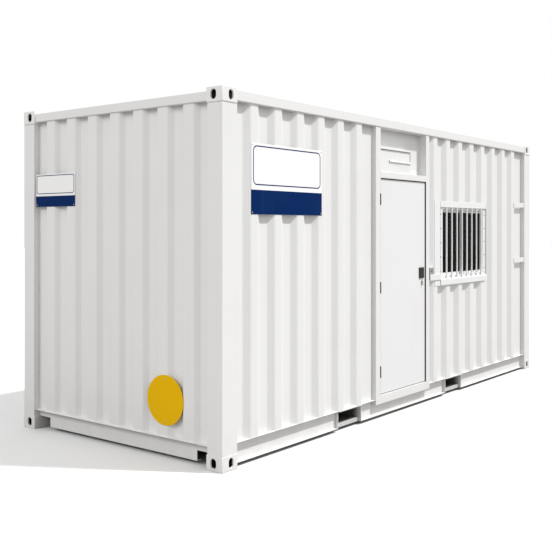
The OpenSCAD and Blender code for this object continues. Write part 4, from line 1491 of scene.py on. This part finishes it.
@dataclass
class Fittings:
    """Padlock keeper, straps, signs and every screw head; a head has radius, height and slot."""

    window: Window
    keeper_radius: float = 0.0012
    keeper_margin: float = 0.004
    keeper_box: float = 0.080
    keeper_foot: float = 0.066
    plate_faces: tuple[float, float] = (0.002, 0.006)
    plate_sides: tuple[float, float] = (0.026, 0.030)
    plate_bar: float = 0.024
    # Reach and depth of the thin black strip of painted shade on the keeper's left side.
    side_shade_reach: tuple[float, float] = (0.0006, 0.003)
    side_shade_depth: float = 0.03
    strap_radius: float = 0.0015
    board_radius: float = 0.0012
    disc_radius: float = 0.001
    sign_inset: float = 0.014
    disc_holes: float = 0.17
    board_head: Point = (0.006, 0.002, 0.0014)
    frame_head: Point = (0.0075, 0.003, 0.0016)

    def keeper(self) -> None:
        """Dresses the keeper, sets a zinc plate with a padlock slot in its box and paints shade on
        its side.
        """
        node, slot = "keeper_bracket", Slot.KEEPER
        options = {"shortest": 0.02, "segments": 2}
        round_nodes(FRAME_ENAMEL, slot, self.keeper_radius, node, **options)
        low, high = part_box(node)
        near, far = (low.y + depth for depth in self.plate_faces)
        left, right = low.x + self.keeper_margin, low.x + self.keeper_box
        slot_left, slot_right = left + self.plate_sides[0], right - self.plate_sides[1]
        foot, top = low.z + self.keeper_foot, high.z - self.keeper_margin
        block_piece("keeper_plate", [
            ((left, near, foot), (slot_left, far, top)),
            ((slot_right, near, foot), (right, far, top)),
            ((slot_left, near, foot), (slot_right, far, foot + self.plate_bar)),
            ((slot_left, near, top - self.plate_bar), (slot_right, far, top)),
        ], GREY_ZINC)
        outside, inside = self.side_shade_reach
        side_shade = (
            (low.x - outside, low.y + SINK, low.z + self.keeper_margin),
            (low.x + inside, low.y + self.side_shade_depth, top),
        )
        block_piece("keeper_side_shade", [side_shade], BLACK_RUBBER_AND_SHADE)

    def straps_and_signs(self) -> None:
        """Rounds the straps beside the right-hand post, the bare boards and the round sign."""
        for node, finish, slot, radius, shortest in (
            ("strap_brackets", FRAME_ENAMEL, Slot.FRAME, self.strap_radius, 0.04),
            ("sign_front", SIGN_FRONT, Slot.SIGN, self.board_radius, 0.1),
            ("sign_end", SIGN_END, Slot.SIGN, self.board_radius, 0.1),
            ("sign_round", SIGN_YELLOW, Slot.SIGN_YELLOW, self.disc_radius, 0.0),
        ):
            round_nodes(finish, slot, radius, node, shortest=shortest, segments=2)

    def sign_screws(self) -> list[tuple[Point, Point]]:
        """Returns place and facing of the screws in the corners of the boards."""
        heads = []
        for node, axis, facing in (("sign_front", 0, TO_FRONT), ("sign_end", 1, TO_LEFT)):
            low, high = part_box(node)
            for across in (low[axis] + self.sign_inset, high[axis] - self.sign_inset):
                for z in (low.z + self.sign_inset, high.z - self.sign_inset):
                    place = [low.x, low.y, z]
                    place[axis] = across
                    heads.append((tuple(place), facing))
        low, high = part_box("sign_round")
        middle = (low + high) / 2
        for side in (-1.0, 1.0):
            heads.append(((low.x, middle.y, middle.z + side * self.disc_holes), TO_LEFT))
        return heads

    def screws(self) -> None:
        """Sets the screw heads of the signs and of the window frame."""
        tree = screw_tree()
        frame_screws = [(place, TO_FRONT) for place in self.window.screw_places()]
        for name, heads, finish, slot, size in (
            ("sign_screws", self.sign_screws(), PLATED_STEEL, Slot.SIGN, self.board_head),
            ("window_screws", frame_screws, LOCK_STEEL, Slot.WINDOW, self.frame_head),
        ):
            places, facings = zip(*heads)
            seed = seed_points(name + "_points", places, facings)
            settings = dict(zip(("Head Radius", "Head Height", "Slot"), size))
            tree.piece(name, seed, finish, slot, settings)

    def build(self) -> None:
        """Builds every fitting."""
        self.keeper()
        self.straps_and_signs()
        self.screws()


@dataclass
class Inside:
    """The bare lined room: boards, ceiling and a skirting round the floor."""

    skirting_height: float = 0.07
    skirting_depth: float = 0.010
    end_lining: float = 0.060
    door_clearance: float = 0.01

    def build(self) -> None:
        """Dresses the linings and runs the skirting along every wall but the doorway."""
        dress_nodes(
            LINING_BOARD, Slot.LINING, "lining_back", "lining_ends", "lining_front_left",
            "lining_front_right", "lining_over_door", "ceiling_panel",
        )
        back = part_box("lining_back")[0].y
        left_end, front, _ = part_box("lining_front_left")[1]
        right_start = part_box("lining_front_right")[0].x
        ends_low, ends_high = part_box("lining_ends")
        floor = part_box("floor_deck")[1].z
        inner = min(-ends_low.x, ends_high.x) - self.end_lining
        deep, top, clear = self.skirting_depth, floor + self.skirting_height, self.door_clearance
        block_piece("skirting", [
            ((-inner, back - deep, floor), (inner, back, top)),
            ((-inner, front, floor), (left_end - clear, front + deep, top)),
            ((right_start + clear, front, floor), (inner, front + deep, top)),
            ((-inner, front + deep, floor), (-inner + deep, back - deep, top)),
            ((inner - deep, front + deep, floor), (inner, back - deep, top)),
        ], LINING_BOARD, rounding=0.002)


# ---------------------------------------------------------------------- studio


def place_in_scene(name: str, data: bpy.types.ID) -> Piece:
    """Makes an object of some data and links it to the scene."""
    made = bpy.data.objects.new(name, data)
    bpy.context.scene.collection.objects.link(made)
    return made


@dataclass(frozen=True)
class Sun:
    """A far light: watts per square metre, degrees above the horizon and from -Y, and spread."""

    name: str
    colour: Colour
    energy: float
    elevation: float
    azimuth: float
    spread: float

    def hang(self) -> None:
        """Hangs the light."""
        light = bpy.data.lights.new(self.name, "SUN")
        light.energy = self.energy
        light.angle = math.radians(self.spread)
        light.color = self.colour
        turn = (math.radians(90.0 - self.elevation), 0.0, math.radians(self.azimuth))
        place_in_scene(self.name, light).rotation_euler = Euler(turn)


@dataclass
class Studio:
    """Plain pale floor, one high key light with a soft fill, a pale sky and the camera."""

    floor_half: float = 60.0
    suns: tuple[Sun, ...] = (
        Sun("key", (1.0, 0.995, 0.985), energy=3.6, elevation=58.0, azimuth=32.0, spread=3.0),
        Sun("fill", (1.0, 0.99, 0.98), energy=1.0, elevation=35.0, azimuth=-110.0, spread=25.0),
    )
    sky: Colour = (1.0, 1.0, 1.0)
    sky_strength: float = 0.78
    camera_place: Point = (-7.7296, -5.3911, 1.8315)
    camera_turn: Point = (math.pi / 2, 0.0, -0.9087)
    lens: float = 55.02
    sensor: float = 36.0
    shift: tuple[float, float] = (0.0, -0.0874)
    sight: float = 300.0

    def floor(self) -> None:
        """Lays the floor."""
        half = self.floor_half
        mesh = bpy.data.meshes.new("studio_floor")
        corners = [(x, y, 0.0) for x, y in rectangle(-half, half, -half, half)]
        mesh.from_pydata(corners, [], [(0, 1, 2, 3)])
        mesh.materials.append(PaleFloor("pale_floor").material())
        floor = place_in_scene("studio_floor", mesh)

    def make_sky(self) -> None:
        """Makes the sky, which shows brighter than it lights."""
        world = bpy.data.worlds.new("pale_sky")
        world.use_nodes = True
        world.node_tree.nodes.clear()
        bench = Bench(world.node_tree)
        seen = bench.node("ShaderNodeLightPath").outputs["Is Camera Ray"]
        sockets = {"Value": seen, "To Min": self.sky_strength, "To Max": 1.0}
        strength = bench.out("ShaderNodeMapRange", sockets)
        shown = bench.out("ShaderNodeBackground", {"Color": self.sky, "Strength": strength})
        bench.node("ShaderNodeOutputWorld", {"Surface": shown})
        bpy.context.scene.world = world

    def camera(self) -> None:
        """Stands the camera to the left of the cabin's near corner, at eye height."""
        data = bpy.data.cameras.new("camera")
        data.lens = self.lens
        data.sensor_width = self.sensor
        data.shift_x, data.shift_y = self.shift
        data.clip_end = self.sight
        camera = place_in_scene("camera", data)
        camera.location = self.camera_place
        camera.rotation_euler = self.camera_turn
        bpy.context.scene.camera = camera

    def build(self) -> None:
        """Builds the studio."""
        self.floor()
        for sun in self.suns:
            sun.hang()
        self.make_sky()
        self.camera()
        bpy.context.scene.view_settings.view_transform = "Standard"


def main() -> None:
    """Builds the whole scene."""
    beads = BeadTree()
    SteelBox(beads).build()
    Doorway().build()
    window = Window(beads)
    window.build()
    Fittings(window).build()
    Inside().build()
    Studio().build()


if __name__ == "__main__":
    main()
